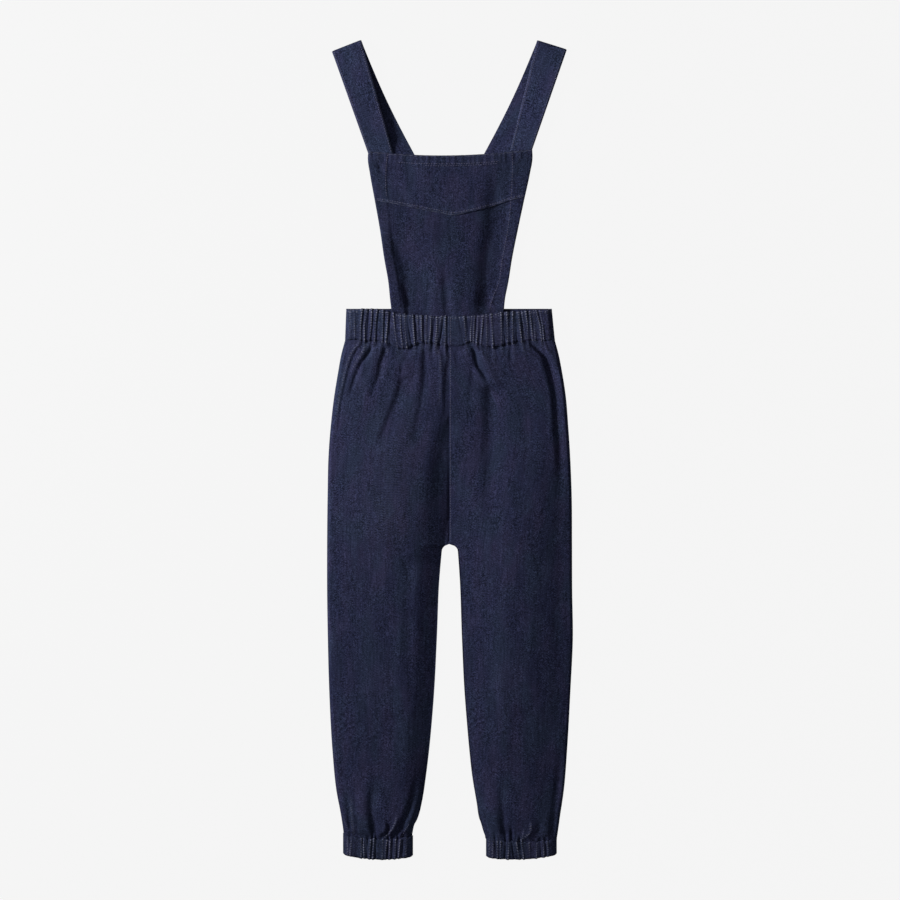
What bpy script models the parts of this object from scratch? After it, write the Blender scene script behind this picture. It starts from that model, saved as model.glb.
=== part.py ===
"""Child's dungarees in dark denim, laid out flat on their back.

Four leg panels, a gathered waistband in two halves, two gathered cuffs, a bib with a yoke, and two
shoulder straps that fold over at the top and cross under the bib to the back waistband.

+X is the wearer's left, +Y runs from the cuffs to the straps and +Z up from the surface. The origin
is under the middle of the outline. "Right" and "left" are the wearer's. Every size is in millimetres,
and MM turns it into Blender's metres.
"""

import math
import random
from collections import namedtuple

import bpy
import numpy as np

MM = 0.001
RIGHT, LEFT = -1, 1

# ---- Cloth and seams ----
CLOTH = 1.3  # one layer of denim
HEM_EXTRA = 0.8  # what a turned hem adds to it
CASING = 2.8  # two layers of denim over elastic, in the valleys between gathers
STRAP = 1.8  # a strap's two layers
SEAM_GAP = 0.3  # between two pieces sewn to each other
CUFF_GAP = 0.45  # between a leg and its cuff

# ---- Trousers ----
Side = namedtuple("Side", "y right left loft")  # outer edges, and the height of the upper face
SIDES = [
    Side(126, -126.0, 126.0, 13.0),
    Side(110, -130.4, 130.4, 15.6),
    Side(90, -134.3, 134.6, 15.8),
    Side(62, -139.2, 139.2, 15.4),
    Side(29, -143.2, 142.0, 15.0),
    Side(-5, -145.8, 144.2, 15.0),
    Side(-55, -147.0, 146.2, 15.0),
    Side(-113, -147.6, 146.6, 15.0),
    Side(-170, -147.6, 146.8, 15.0),
    Side(-223, -146.8, 147.6, 14.6),
    Side(-290, -145.0, 144.6, 14.2),
    Side(-358, -141.4, 140.8, 14.0),
    Side(-408, -136.6, 136.8, 14.2),
    Side(-441, -131.0, 132.0, 14.6),
    Side(-466, -127.8, 128.2, 12.5),
]
Inseam = namedtuple("Inseam", "y right left")
INSEAMS = [
    Inseam(-466, -45.6, 42.6),
    Inseam(-455, -43.4, 40.4),
    Inseam(-441, -38.4, 36.0),
    Inseam(-425, -34.0, 32.2),
    Inseam(-391, -28.8, 26.6),
    Inseam(-358, -24.8, 23.0),
    Inseam(-324, -21.6, 20.0),
    Inseam(-290, -19.0, 17.4),
    Inseam(-223, -15.6, 14.2),
    Inseam(-156, -12.8, 11.8),
    Inseam(-121, -9.8, 9.4),
]
CENTRE_SEAM_X = -1.0
CROTCH_Y = -113.5
CROTCH_TURN = 11.0  # length over which the back panel's centre edge turns up towards the crotch
ARCH_RISE = 8.0  # height of the rounded top of the gap between the legs
ARCH_HALF = 9.5  # and half its width
ARCH_ROUNDING = 26.0  # distance over which the cloth rises from it
SIDE_SEAM_Z = 3.3  # height at which front and back meet along a plain edge
SIDE_SHOULDER = 38.0  # width over which the upper face rounds down to the side
Valley = namedtuple("Valley", "y depth reach steep")  # along the centre seam and down the inseams
VALLEYS = [
    Valley(-466, 10.0, 64.0, 1.0),
    Valley(-430, 11.0, 62.0, 1.0),
    Valley(-380, 11.3, 59.0, 1.0),
    Valley(-290, 11.3, 53.0, 1.0),
    Valley(-200, 11.6, 48.0, 1.0),
    Valley(-150, 11.7, 44.0, 1.0),
    Valley(-113, 11.7, 38.0, 1.0),
    Valley(-90, 9.6, 34.0, 0.8),
    Valley(-55, 5.6, 29.0, 0.4),
    Valley(-15, 2.4, 23.0, 0.1),
    Valley(30, 1.3, 15.0, 0.0),
    Valley(126, 0.8, 10.0, 0.0),
]  # reach is where the upper face is level again, from the centre line
SEAM_ROLL = [(-40, 0.0), (10, 2.0), (50, 5.0), (110, 5.0), (132, 3.0)]  # (y, side seam to edge)
PANEL_ROWS = [126, 118, 109, 98, 86, 72, 56, 38, 18, -8, -38, -68, -88, -101, -109, -113.5, -114.0, -115.3,
              -117.7, -121.5, -142, -178, -218, -258, -298, -338, -374, -402, -421, -436, -448, -457, -466]
WAIST_BLEND_Y = 30.0  # rows of points bend from here up to the waistband's edge
CUFF_BLEND_Y = -400.0  # and from here down to the cuff's
SHOULDER_STEPS = [0.0, 0.13, 0.3, 0.47, 0.64, 0.82, 1.0]
FRONT_COLUMNS = 16  # across the level part of a front panel

# Troughs in the upper face, each with raised lips: (y, x) points from its deep end to its faint end.
Fold = namedtuple("Fold", "depth width path")
HIP_FOLDS = [
    Fold(2.6, 5.5, [(128, -92), (112, -102), (97, -110), (84, -117), (70, -122)]),
    Fold(2.6, 6.5, [(127, -79), (112, -84), (96, -88), (76, -96)]),
    Fold(2.4, 8.0, [(104, -60), (78, -62), (56, -70), (36, -76)]),
    Fold(4.2, 6.5, [(124, -33), (98, -33), (62, -36), (28, -40), (-22, -50)]),
    Fold(4.4, 7.0, [(124, 26), (108, 32), (88, 40), (62, 44), (34, 43), (-22, 38)]),
    Fold(1.8, 5.5, [(128, 71), (112, 72), (98, 71)]),
    Fold(4.2, 6.5, [(129, 103), (112, 111), (94, 118), (70, 123), (24, 126), (-34, 130), (-84, 133)]),
]
ANKLE_FOLDS = [
    Fold(2.6, 5.5, [(-462, -117), (-445, -124), (-425, -130)]),
    Fold(2.8, 7.5, [(-462, -94), (-442, -95), (-415, -96)]),
    Fold(2.6, 5.5, [(-462, -80), (-448, -76), (-436, -74)]),
    Fold(3.0, 6.0, [(-462, -60), (-440, -57), (-415, -51)]),
    Fold(2.8, 6.5, [(-462, 60), (-444, 62), (-420, 64)]),
    Fold(2.8, 6.0, [(-462, 88), (-450, 93), (-438, 97)]),
    Fold(3.2, 6.0, [(-462, 120), (-440, 122), (-412, 126), (-380, 130)]),
]
LIP = 0.7  # how strongly a trough's lips are raised
FOLD_END = 14.0  # length over which a trough's ends fade
FAINT_END = 0.55  # share of its depth that a trough loses towards its faint end
FOLD_ONSET = 0.7  # how soon folds start on the way up from a side

# ---- Waistband ----
WAIST_LOFT = 13.4  # upper face in the valleys between gathers
WAIST_RIDGE = 1.5  # height of a gather
WAIST_SEAM_Z = 5.0
WAIST_INSIDE_Z = WAIST_LOFT - CASING
WAIST_HALF_TOP, WAIST_HALF_BOTTOM = 123.4, 126.0
WAIST_TOP_Y, WAIST_TOP_DIP = 168.8, 8.0  # the front's upper edge at the sides, and its dip at the middle
WAIST_BOTTOM_Y, WAIST_BOTTOM_DIP = 130.8, 9.6
BACK_TOP_Y, BACK_BOTTOM_Y = 169.6, 131.0
WAIST_SHOULDER = 8.0
WAIST_GATHERS = 34
WAIST_PLAIN = (0.0, 20.0)  # the ungathered stretch beside the centre seam
WAIST_END_PLAIN = 11.0  # and the one at each side seam
GATHER_REACH = 4.5  # the most that a gather spreads to either side
END_STEPS = np.array([0.0, 0.2, 0.45, 0.7])  # shares of the way round the waistband's ends
BAND_ROWS = [(1.0, 1.3), (0.95, 0.4), (0.8, 0.0), (0.2, 0.0), (0.05, 0.3), (0.0, 0.9)]  # (share up, drop)

# ---- Cuffs ----
Cuff = namedtuple("Cuff", "side inner outer top bottom top_dip bottom_dip tilt gathers")
CUFFS = [
    Cuff(RIGHT, -45.0, -128.4, -462.0, -486.4, 4.4, 5.0, 2.0, 13),
    Cuff(LEFT, 43.2, 127.8, -465.6, -487.4, 4.0, 4.0, -1.8, 12),
]
CUFF_LOFT, CUFF_RIDGE, CUFF_CASING, CUFF_SHOULDER, CUFF_CORNER = 11.8, 1.3, 2.4, 12.0, 4.6
CUFF_ROWS = [(1.0, 0.2), (0.5, 0.0), (0.1, 0.2), (0.0, 1.0)]  # (share up, drop)

# ---- Bib ----
Bib = namedtuple("Bib", "y right left right_hem left_hem")
BIB_SECTIONS = [
    Bib(146, -69.0, 64.0, 12.0, 14.0),
    Bib(168, -70.4, 64.8, 12.0, 18.0),
    Bib(182, -72.0, 66.2, 12.0, 16.0),
    Bib(200, -73.8, 69.8, 12.0, 12.5),
    Bib(230, -79.0, 74.6, 11.5, 12.5),
    Bib(264, -84.0, 81.4, 12.5, 13.0),
    Bib(298, -90.0, 88.6, 15.0, 16.5),
    Bib(331, -96.0, 95.8, 20.0, 22.0),
    Bib(350, -98.6, 99.0, 24.0, 25.0),
    Bib(362, -97.6, 98.6, 26.0, 25.5),
]
BIB_TOP_HALF, BIB_TOP_Y, BIB_TOP_DIP, BIB_TOP_TILT = 97.0, 359.6, 6.2, 1.3
YOKE_SEAM = [(-98, 301.0), (-68, 296.6), (-42, 291.6), (-12, 285.6), (3.6, 283.0), (24, 286.6), (48, 292.8),
             (72, 300.6), (98, 306.5)]  # (x, y) of the shallow V across the bib
TOP_HEM = 12.0
HEM_STEP = 1.0  # width of the step where a hem's second layer ends
EDGE_ROUND_WIDTH, EDGE_ROUND_DROP = 1.5, 0.5  # how a piece's free edges are rounded off
BIB_COLUMNS = 14  # between the side hems
YOKE_SHARES = [0, 0.04, 0.15, 0.18, 0.4, 0.6, 0.8, 1.0]  # rows, as shares of the way down
PANEL_SHARES = [0, 0.12, 0.25, 0.38, 0.5, 0.6, 0.69, 0.77, 0.84, 0.92, 1.0]
BIB_UNDER_Z = 6.5
BIB_TUCK_Z = WAIST_INSIDE_Z - SEAM_GAP - CLOTH  # where the bib runs in under the waistband
BIB_RAMP = (212.0, 177.0)
BIB_TAIL_Y = 148.0
BAND_GRIP = 6.0  # length over which the waistband presses the bib flat
GRIPPED_FOLDS = 0.25  # share of their depth that the bib's folds keep under it
BIB_FOLDS = [
    Fold(2.2, 7.0, [(336, 54), (320, 48), (298, 41), (262, 45), (228, 41), (190, 37), (150, 34)]),
    Fold(2.2, 6.0, [(150, -50), (172, -53), (196, -58), (226, -66), (250, -70)]),
    Fold(1.4, 5.0, [(150, -2), (170, -3), (198, -8)]),
    Fold(1.0, 5.0, [(332, -79), (325, -79), (300, -78), (262, -76)]),
]

# ---- Straps ----
Strap = namedtuple(
    "Strap", "name side fold_outer fold_inner bib_outer bib_inner waist_inner waist_outer over")
STRAPS = [
    Strap("strap_right", RIGHT, (-140.4, 477.0), (-107.2, 490.9), (-96.4, 358.6), (-70.6, 357.4),
          (46.0, BACK_TOP_Y + SEAM_GAP), (8.4, BACK_TOP_Y + SEAM_GAP), False),
    Strap("strap_left", LEFT, (139.8, 480.8), (105.4, 491.85), (97.6, 361.0), (72.8, 361.8),
          (-48.5, BACK_TOP_Y + SEAM_GAP), (-10.9, BACK_TOP_Y + SEAM_GAP), True),
]
STRAP_TUCK = 13.0  # length of strap sewn behind the bib's top hem
STRAP_AT_BIB_Z = BIB_UNDER_Z - SEAM_GAP - STRAP  # underside of the strap there
STRAP_AT_FOLD_Z = 4.4  # underside of the upper layer next to the fold
STRAP_SAG_Z = 2.5  # and where it lies on the layer beneath
STRAP_RISE = (0.55, 0.4)  # where it starts to rise to the bib, and over what share of its length
STRAP_SETTLE = 0.3  # share of its length over which it settles from the fold
STRAP_FRONT_ROWS = [1.0, 0.94, 0.85, 0.7, 0.5, 0.35, 0.2, 0.1, 0.04]  # shares of the way to the bib
STRAP_BEND_STEPS = 7
STRAP_BACK_ROWS = [0.08, 0.25, 0.42, 0.56, 0.62, 0.68, 0.74, 0.8, 0.86, 0.91, 0.955, 1.0]  # to the waist
CROSSING = (186.0, 266.0)  # stretch in y where the straps lie on each other
CROSSING_RAMP = 16.0

COLOURS = {  # linear base colours
    "denim_panels": (0.020, 0.021, 0.048),
    "denim_gathered": (0.023, 0.024, 0.050),
    "denim_straps": (0.021, 0.022, 0.050),
}


def through(table, at):
    """Values at the keys `at`, on the smooth curve through a table of (key, value) pairs."""
    keys, values = np.array(sorted(table), float).T
    slopes = np.gradient(values, keys)
    at = np.clip(at, keys[0], keys[-1])
    i = np.clip(np.searchsorted(keys, at) - 1, 0, len(keys) - 2)
    step = keys[i + 1] - keys[i]
    t = (at - keys[i]) / step
    start = values[i] * (1 + 2 * t) + slopes[i] * step * t
    end = values[i + 1] * (3 - 2 * t) - slopes[i + 1] * step * (1 - t)
    return start * (1 - t) ** 2 + end * t * t


def column(table, field, at):
    return through([(row.y, getattr(row, field)) for row in table], at)


def ease(t):
    t = np.clip(t, 0.0, 1.0)
    return t * t * (3 - 2 * t)


def fold_height(folds, x, y):
    """What the troughs and their lips add to the upper face at points (x, y)."""
    total = np.zeros_like(x)
    for fold in folds:
        ys = [point[0] for point in fold.path]
        low, high = min(ys), max(ys)
        middle = through(fold.path, y)
        along = np.abs(y - ys[0]) / (high - low)
        fade = ease((y - low) / FOLD_END + 0.5) * ease((high - y) / FOLD_END + 0.5) * (1 - FAINT_END * along)
        across = ((x - middle) / fold.width) ** 2
        total -= fold.depth * np.clip(fade, 0, 1) * (1 - LIP * across) * np.exp(-across)
    return total


def material(name):
    found = bpy.data.materials.get(name)
    if found:
        return found
    made = bpy.data.materials.new(name)
    made.use_nodes = True
    shader = made.node_tree.nodes["Principled BSDF"]
    shader.inputs["Base Color"].default_value = (*COLOURS[name], 1.0)
    shader.inputs["Roughness"].default_value = 0.85
    shader.inputs["Metallic"].default_value = 0.0
    return made


def bridge(points, a, b):
    """Triangles between two runs of point numbers, always across the shorter diagonal."""
    triangles = []
    i = j = 0
    while i < len(a) - 1 or j < len(b) - 1:
        step_a = math.dist(points[a[i + 1]], points[b[j]]) if i < len(a) - 1 else math.inf
        step_b = math.dist(points[a[i]], points[b[j + 1]]) if j < len(b) - 1 else math.inf
        if step_a < step_b:
            triangles.append((a[i], b[j], a[i + 1]))
            i += 1
        else:
            triangles.append((a[i], b[j], b[j + 1]))
            j += 1
    return triangles


def wall(name, outer, inner, slot, ring=False):
    """A wall of cloth between two grids of points, as (row, column, xyz) arrays in millimetres.

    Seen from outside, columns run to the right and rows downwards. The grids may differ in their
    numbers of rows and columns. In a ring the last column joins the first.
    """
    points, faces, edges = [], [], []
    for grid, outside in ((outer, True), (inner, False)):
        rows, columns = grid.shape[:2]
        number = np.arange(rows * columns).reshape(rows, columns) + len(points)
        points += [tuple(p) for p in (grid.reshape(-1, 3) * MM)]
        if ring:
            number = np.hstack([number, number[:, :1]])
        for r in range(rows - 1):
            for c in range(number.shape[1] - 1):
                quad = (number[r, c], number[r + 1, c], number[r + 1, c + 1], number[r, c + 1])
                faces.append(quad if outside else quad[::-1])
        edges.append((number[0], number[-1], number[:, 0], number[:, -1]))
    (top, bottom, first, last), (top_in, bottom_in, first_in, last_in) = edges
    faces += bridge(points, top_in, top) + bridge(points, bottom, bottom_in)
    if not ring:
        faces += bridge(points, first, first_in) + bridge(points, last_in, last)
    mesh = bpy.data.meshes.new(name)
    mesh.from_pydata(points, [], [tuple(int(k) for k in face) for face in faces])
    mesh.validate()
    mesh.update()
    mesh.shade_smooth()
    mesh.set_sharp_from_angle(angle=math.radians(50))
    mesh.materials.append(material(slot))
    made = bpy.data.objects.new(name, mesh)
    COLLECTION.objects.link(made)
    return made


def shoulder(p, steep):
    """How far in (0 to 1) and how far up (0 to 1) a rounded side is, a share p of the way along it.

    A steep side stands upright at its foot, and another one leaves its foot level.
    """
    round_in, round_up = 1 - np.cos(p * math.pi / 2), np.sin(p * math.pi / 2)
    soft_in, soft_up = p, (1 - np.cos(p * math.pi)) / 2
    return soft_in + steep * (round_in - soft_in), soft_up + steep * (round_up - soft_up)


# ---- Waistband ----
def waist_half(share_up):
    return WAIST_HALF_BOTTOM + (WAIST_HALF_TOP - WAIST_HALF_BOTTOM) * share_up


def front_edge_y(x, at_side, dip):
    """The front waistband's upper or lower edge, which dips towards the middle."""
    return at_side - dip * (1 - np.clip(np.abs(x) / WAIST_HALF_BOTTOM, 0, 1) ** 1.8)


def gather_lines(count, low, high, plain, jitter, seed):
    """Where a band's gathers stand: uneven spacing, with none in the plain stretches."""
    rng = random.Random(seed)
    step = (high - low) / count
    lines = [low + step * (k + 0.5 + rng.uniform(-jitter, jitter)) for k in range(count)]
    return [x for x in lines if not any(a < x < b for a, b in plain)]


def gather_columns(lines, low, high):
    """Column positions that put one point on each gather and one in each valley between."""
    stops = [low, *lines, high]
    valleys = [(a + b) / 2 for a, b in zip(stops[1:-2], stops[2:-1])]
    flanks = [(a + b) / 2 for a, b in zip(sorted(lines + valleys)[:-1], sorted(lines + valleys)[1:])]
    return np.array(sorted(set([low, high] + lines + valleys + flanks)))


def gather_height(x, lines, height):
    """Ridges on the gather lines, each falling to 0 half way to the next."""
    lines = np.array(sorted(lines))
    gaps = np.diff(lines)
    total = np.zeros_like(x)
    for k, line in enumerate(lines):
        left = gaps[k - 1] / 2 if k else gaps[0] / 2
        right = gaps[k] / 2 if k < len(gaps) else gaps[-1] / 2
        left, right = min(left, GATHER_REACH), min(right, GATHER_REACH)
        share = np.where(x < line, (line - x) / left, (x - line) / right)
        total += height * np.where(share < 1, (1 + np.cos(np.pi * np.clip(share, 0, 1))) / 2, 0)
    return total


WAIST_LINES = gather_lines(
    WAIST_GATHERS, -WAIST_HALF_TOP + WAIST_END_PLAIN, WAIST_HALF_TOP - WAIST_END_PLAIN, [WAIST_PLAIN], 0.3, 7)


def waistband_front():
    reach = WAIST_HALF_TOP - WAIST_SHOULDER
    rise = WAIST_LOFT - WAIST_SEAM_Z
    along = gather_columns(WAIST_LINES, -reach, reach)
    ridge = gather_height(along, WAIST_LINES, WAIST_RIDGE)
    outer = []
    for share_up, drop in BAND_ROWS:
        half = waist_half(share_up)
        ends_in, ends_up = shoulder(END_STEPS, 1.0)
        x_end, z_end = half - WAIST_SHOULDER * ends_in, WAIST_SEAM_Z + rise * ends_up
        x = np.concatenate([-x_end, along * (half - WAIST_SHOULDER) / reach, x_end[::-1]])
        z = np.concatenate([z_end, WAIST_LOFT + ridge, z_end[::-1]])
        low = front_edge_y(x, WAIST_BOTTOM_Y, WAIST_BOTTOM_DIP)
        high = front_edge_y(x, WAIST_TOP_Y, WAIST_TOP_DIP)
        keep_end = np.clip((z - WAIST_SEAM_Z) / rise, 0, 1)
        outer.append(np.stack([x, low + (high - low) * share_up, z - drop * keep_end], axis=1))
    inner = []
    for share_up in (1.0, 0.0):
        half = waist_half(share_up)
        ends_in, ends_up = shoulder(END_STEPS, 1.0)
        x_end = half - CASING - (WAIST_SHOULDER - CASING) * ends_in
        z_end = WAIST_SEAM_Z + (WAIST_INSIDE_Z - WAIST_SEAM_Z) * ends_up
        middle = along * (half - WAIST_SHOULDER) / reach
        x = np.concatenate([-x_end, middle, x_end[::-1]])
        z = np.concatenate([z_end, np.full_like(middle, WAIST_INSIDE_Z), z_end[::-1]])
        low = front_edge_y(x, WAIST_BOTTOM_Y, WAIST_BOTTOM_DIP)
        high = front_edge_y(x, WAIST_TOP_Y, WAIST_TOP_DIP)
        inner.append(np.stack([x, low + (high - low) * share_up, z], axis=1))
    wall("waistband_front", np.array(outer), np.array(inner), "denim_gathered")


def curled(x_edge, toward_middle, corner, turn, steps):
    """Section points and inward directions of an edge that turns up from the surface.

    The edge is at x_edge, and toward_middle is the sign of x going in from it. `turn` is the share of
    a right angle that it turns, with the points running from the edge down to the surface.
    """
    angle = np.linspace(1.0, 0.0, steps) * math.pi / 2
    x = x_edge + toward_middle * corner * (1 - np.sin(angle))
    z = corner * turn * (1 - np.cos(angle))
    lean = angle * turn
    return x, z, toward_middle * np.sin(lean), np.cos(lean)


def waistband_back():
    rim = WAIST_SEAM_Z - SEAM_GAP
    outer, inner = [], []
    for share_up in (0.0, 0.5, 1.0):
        half = waist_half(share_up)
        x0, z0, nx0, nz0 = curled(-half, 1, rim, 1.0, 5)
        x1, z1, nx1, nz1 = curled(half, -1, rim, 1.0, 5)
        middle = np.linspace(-half + rim, half - rim, 12)[1:-1]
        flat = np.zeros_like(middle)
        x, z = np.concatenate([x0, middle, x1[::-1]]), np.concatenate([z0, flat, z1[::-1]])
        nx = np.concatenate([nx0, flat, nx1[::-1]])
        nz = np.concatenate([nz0, flat + 1, nz1[::-1]])
        y = np.full_like(x, BACK_BOTTOM_Y + (BACK_TOP_Y - BACK_BOTTOM_Y) * share_up)
        outer.append(np.stack([x, y, z], axis=1))
        inner.append(np.stack([x + CASING * nx, y, z + CASING * nz], axis=1))
    wall("waistband_back", np.array(outer), np.array(inner), "denim_gathered")


# ---- Trousers ----
def inseam_x(side, y):
    """The inner edge of a leg: the centre seam, then an arch, then the inseam."""
    edge = column(INSEAMS, "right" if side == RIGHT else "left", np.minimum(y, -121.0))
    fall = np.clip((CROTCH_Y - y) / ARCH_RISE, 0, 1)
    return CENTRE_SEAM_X + (edge - CENTRE_SEAM_X) * np.sqrt(1 - (1 - fall) ** 2)


def cuff_of(side):
    return next(cuff for cuff in CUFFS if cuff.side == side)


def cuff_edge_y(cuff, x, at_ends, dip):
    """A cuff's upper or lower edge: it tilts a little, and dips between its ends."""
    share = np.clip((x - cuff.inner) / (cuff.outer - cuff.inner), 0, 1)
    return at_ends - dip * (1 - (2 * share - 1) ** 2) + cuff.tilt * (share - 0.5)


def warped_y(side, x, row_y, front):
    """The y of a row's points: rows bend to meet the waistband above and the cuff below."""
    top_row, bottom_row = PANEL_ROWS[0], PANEL_ROWS[-1]
    if front:
        edge = front_edge_y(x, WAIST_BOTTOM_Y, WAIST_BOTTOM_DIP)
    else:
        edge = np.full_like(x, BACK_BOTTOM_Y)
    to_waist = ease((row_y - WAIST_BLEND_Y) / (top_row - WAIST_BLEND_Y)) * (edge - SEAM_GAP - top_row)
    cuff = cuff_of(side)
    to_cuff = ease((CUFF_BLEND_Y - row_y) / (CUFF_BLEND_Y - bottom_row)) * (
        cuff_edge_y(cuff, x, cuff.top, cuff.top_dip) + CUFF_GAP - bottom_row)
    return row_y + to_waist + to_cuff


def seam_share(y, loft):
    """The share of the side's rounding that the back panel covers, where its seam rolls forward."""
    roll = np.interp(y, *np.array(SEAM_ROLL).T)
    return math.acos(1 - roll / SIDE_SHOULDER) / (math.pi / 2)


def arch_crown(x, y):
    """How far up (0 to 1) the cloth may be at points round the top of the gap between the legs."""
    above = np.maximum(y - CROTCH_Y + ARCH_RISE, 0) * ARCH_HALF / ARCH_RISE
    away = np.clip((np.hypot(x - CENTRE_SEAM_X, above) - ARCH_HALF) / ARCH_ROUNDING, 0, 1)
    return np.sqrt(1 - (1 - away) ** 2)


def leg_front(side):
    """The upper panel of a leg, from its side seam to the centre seam and inseam."""
    outer, inner = [], []
    for row_y in PANEL_ROWS:
        loft = column(SIDES, "loft", row_y)
        edge = column(SIDES, "right" if side == RIGHT else "left", row_y)
        seam = inseam_x(side, row_y) + side * SEAM_GAP / 2
        depth = column(VALLEYS, "depth", row_y)
        width = column(VALLEYS, "reach", row_y) - abs(seam)
        steep = float(np.clip(column(VALLEYS, "steep", row_y), 0, 1))
        start = seam_share(row_y, loft)
        steps = np.array(SHOULDER_STEPS)
        side_in, side_up = shoulder(start + (1 - start) * steps, 1.0)
        inner_in, inner_up = shoulder(steps[::-1], steep)
        x_side = edge - side * SIDE_SHOULDER * side_in
        x_seam = seam + side * width * inner_in
        flat = np.linspace(x_side[-1], x_seam[0], FRONT_COLUMNS)[1:-1]
        x = np.concatenate([x_side, flat, x_seam])
        foot = SIDE_SEAM_Z + (SEAM_GAP / 2 if start == 0 else 0)
        z = np.concatenate([foot + (loft - foot) * side_up, np.full_like(flat, loft),
                            loft - min(depth, loft - foot) * (1 - inner_up)])
        y = warped_y(side, x, row_y, True)
        z = np.minimum(z, foot + (loft - foot) * arch_crown(x, y))
        up = np.clip((z - SIDE_SEAM_Z) / (loft - SIDE_SEAM_Z), 0, 1) ** FOLD_ONSET
        z = z + up * (fold_height(HIP_FOLDS, x, y) + fold_height(ANKLE_FOLDS, x, y))
        dx, dz = np.gradient(x), np.gradient(z)
        nx, nz = -side * dz, side * dx
        nz[0], nz[-1] = nz[0] * (start > 0), nz[-1] * (1 - steep)
        if start > 0:
            tangent = start * math.pi / 2
            nx[0], nz[0] = -side * math.cos(tangent) / SIDE_SHOULDER, -math.sin(tangent) / (loft - foot)
        length = np.hypot(nx, nz)
        if start > 0:
            x[0] -= side * SEAM_GAP * 0.5 * abs(nz[0] / length[0])
            z[0] += SEAM_GAP * 0.5 * abs(nx[0] / length[0])
        under = np.maximum(z + CLOTH * nz / length, SIDE_SEAM_Z + SEAM_GAP / 2)
        outer.append(np.stack([x, y, z], axis=1))
        inner.append(np.stack([x + CLOTH * nx / length, y, under], axis=1))
    outer, inner = np.array(outer), np.array(inner)
    if side == LEFT:
        outer, inner = outer[:, ::-1], inner[:, ::-1]
    name = "leg_front_right" if side == RIGHT else "leg_front_left"
    wall(name, outer, inner, "denim_panels")


def leg_back(side):
    """The lower panel of a leg, flat on the surface with its edges turned up to the front's."""
    outer, inner = [], []
    corner = SIDE_SEAM_Z - SEAM_GAP / 2
    for row_y in PANEL_ROWS:
        loft = column(SIDES, "loft", row_y)
        edge = column(SIDES, "right" if side == RIGHT else "left", row_y)
        seam = inseam_x(side, row_y) + side * SEAM_GAP / 2
        turn = float(ease((CROTCH_Y + CROTCH_TURN - row_y) / CROTCH_TURN))
        end = seam_share(row_y, loft) * math.pi / 2
        angle = np.linspace(math.pi / 2 + end, 0.0, 7)
        low, high = np.minimum(angle, math.pi / 2), np.maximum(angle - math.pi / 2, 0)
        x_side = edge - side * (corner * (1 - np.sin(low)) + SIDE_SHOULDER * (1 - np.cos(high)))
        z_side = corner * (1 - np.cos(low)) + (loft - corner) * np.sin(high)
        lean_x, lean_z = np.sin(low), np.cos(low)
        over = high > 0
        lean_x[over] = np.cos(high[over]) / SIDE_SHOULDER
        lean_z[over] = -np.sin(high[over]) / (loft - corner)
        length = np.hypot(lean_x, lean_z)
        if end > 0:
            x_side[0] += side * SEAM_GAP * 0.5 * abs(lean_z[0] / length[0])
            z_side[0] -= SEAM_GAP * 0.5 * abs(lean_x[0] / length[0])
        x_in, z_in, nx_in, nz_in = curled(seam, side, corner, turn, 4)
        flat = np.linspace(x_side[-1], x_in[-1], 4)[1:-1]
        zero = np.zeros_like(flat)
        x = np.concatenate([x_side, flat, x_in[::-1]])
        z = np.concatenate([z_side, zero, z_in[::-1]])
        nx = np.concatenate([-side * lean_x / length, zero, nx_in[::-1]])
        nz = np.concatenate([lean_z / length, zero + 1, nz_in[::-1]])
        y = np.where(z > corner, warped_y(side, x, row_y, True), warped_y(side, x, row_y, False))
        outer.append(np.stack([x, y, z], axis=1))
        inner.append(np.stack([x + CLOTH * nx, y, z + CLOTH * nz], axis=1))
    outer, inner = np.array(outer), np.array(inner)
    if side == RIGHT:
        outer, inner = outer[:, ::-1], inner[:, ::-1]
    name = "leg_back_right" if side == RIGHT else "leg_back_left"
    wall(name, outer, inner, "denim_panels")


# ---- Cuffs ----
def ring_section(half, loft, shoulder_width, corner, steps):
    """A flattened ring about x 0, as (x, z): along the upper face, round a side, and back underneath."""
    side_in, side_up = shoulder(np.linspace(1, 0, steps + 1)[1:], 1.0)
    x_side, z_side = half - shoulder_width * side_in, corner + (loft - corner) * side_up
    angle = np.linspace(0, math.pi / 2, steps)[1:]
    x_low, z_low = half - corner * (1 - np.cos(angle)), corner * (1 - np.sin(angle))
    x_right = np.concatenate([x_side, x_low])
    z_right = np.concatenate([z_side, z_low])
    under = np.linspace(x_low[-1], -x_low[-1], 9)[1:-1]
    x = np.concatenate([x_right, under, -x_right[::-1]])
    z = np.concatenate([z_right, np.zeros_like(under), z_right[::-1]])
    return x, z


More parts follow.
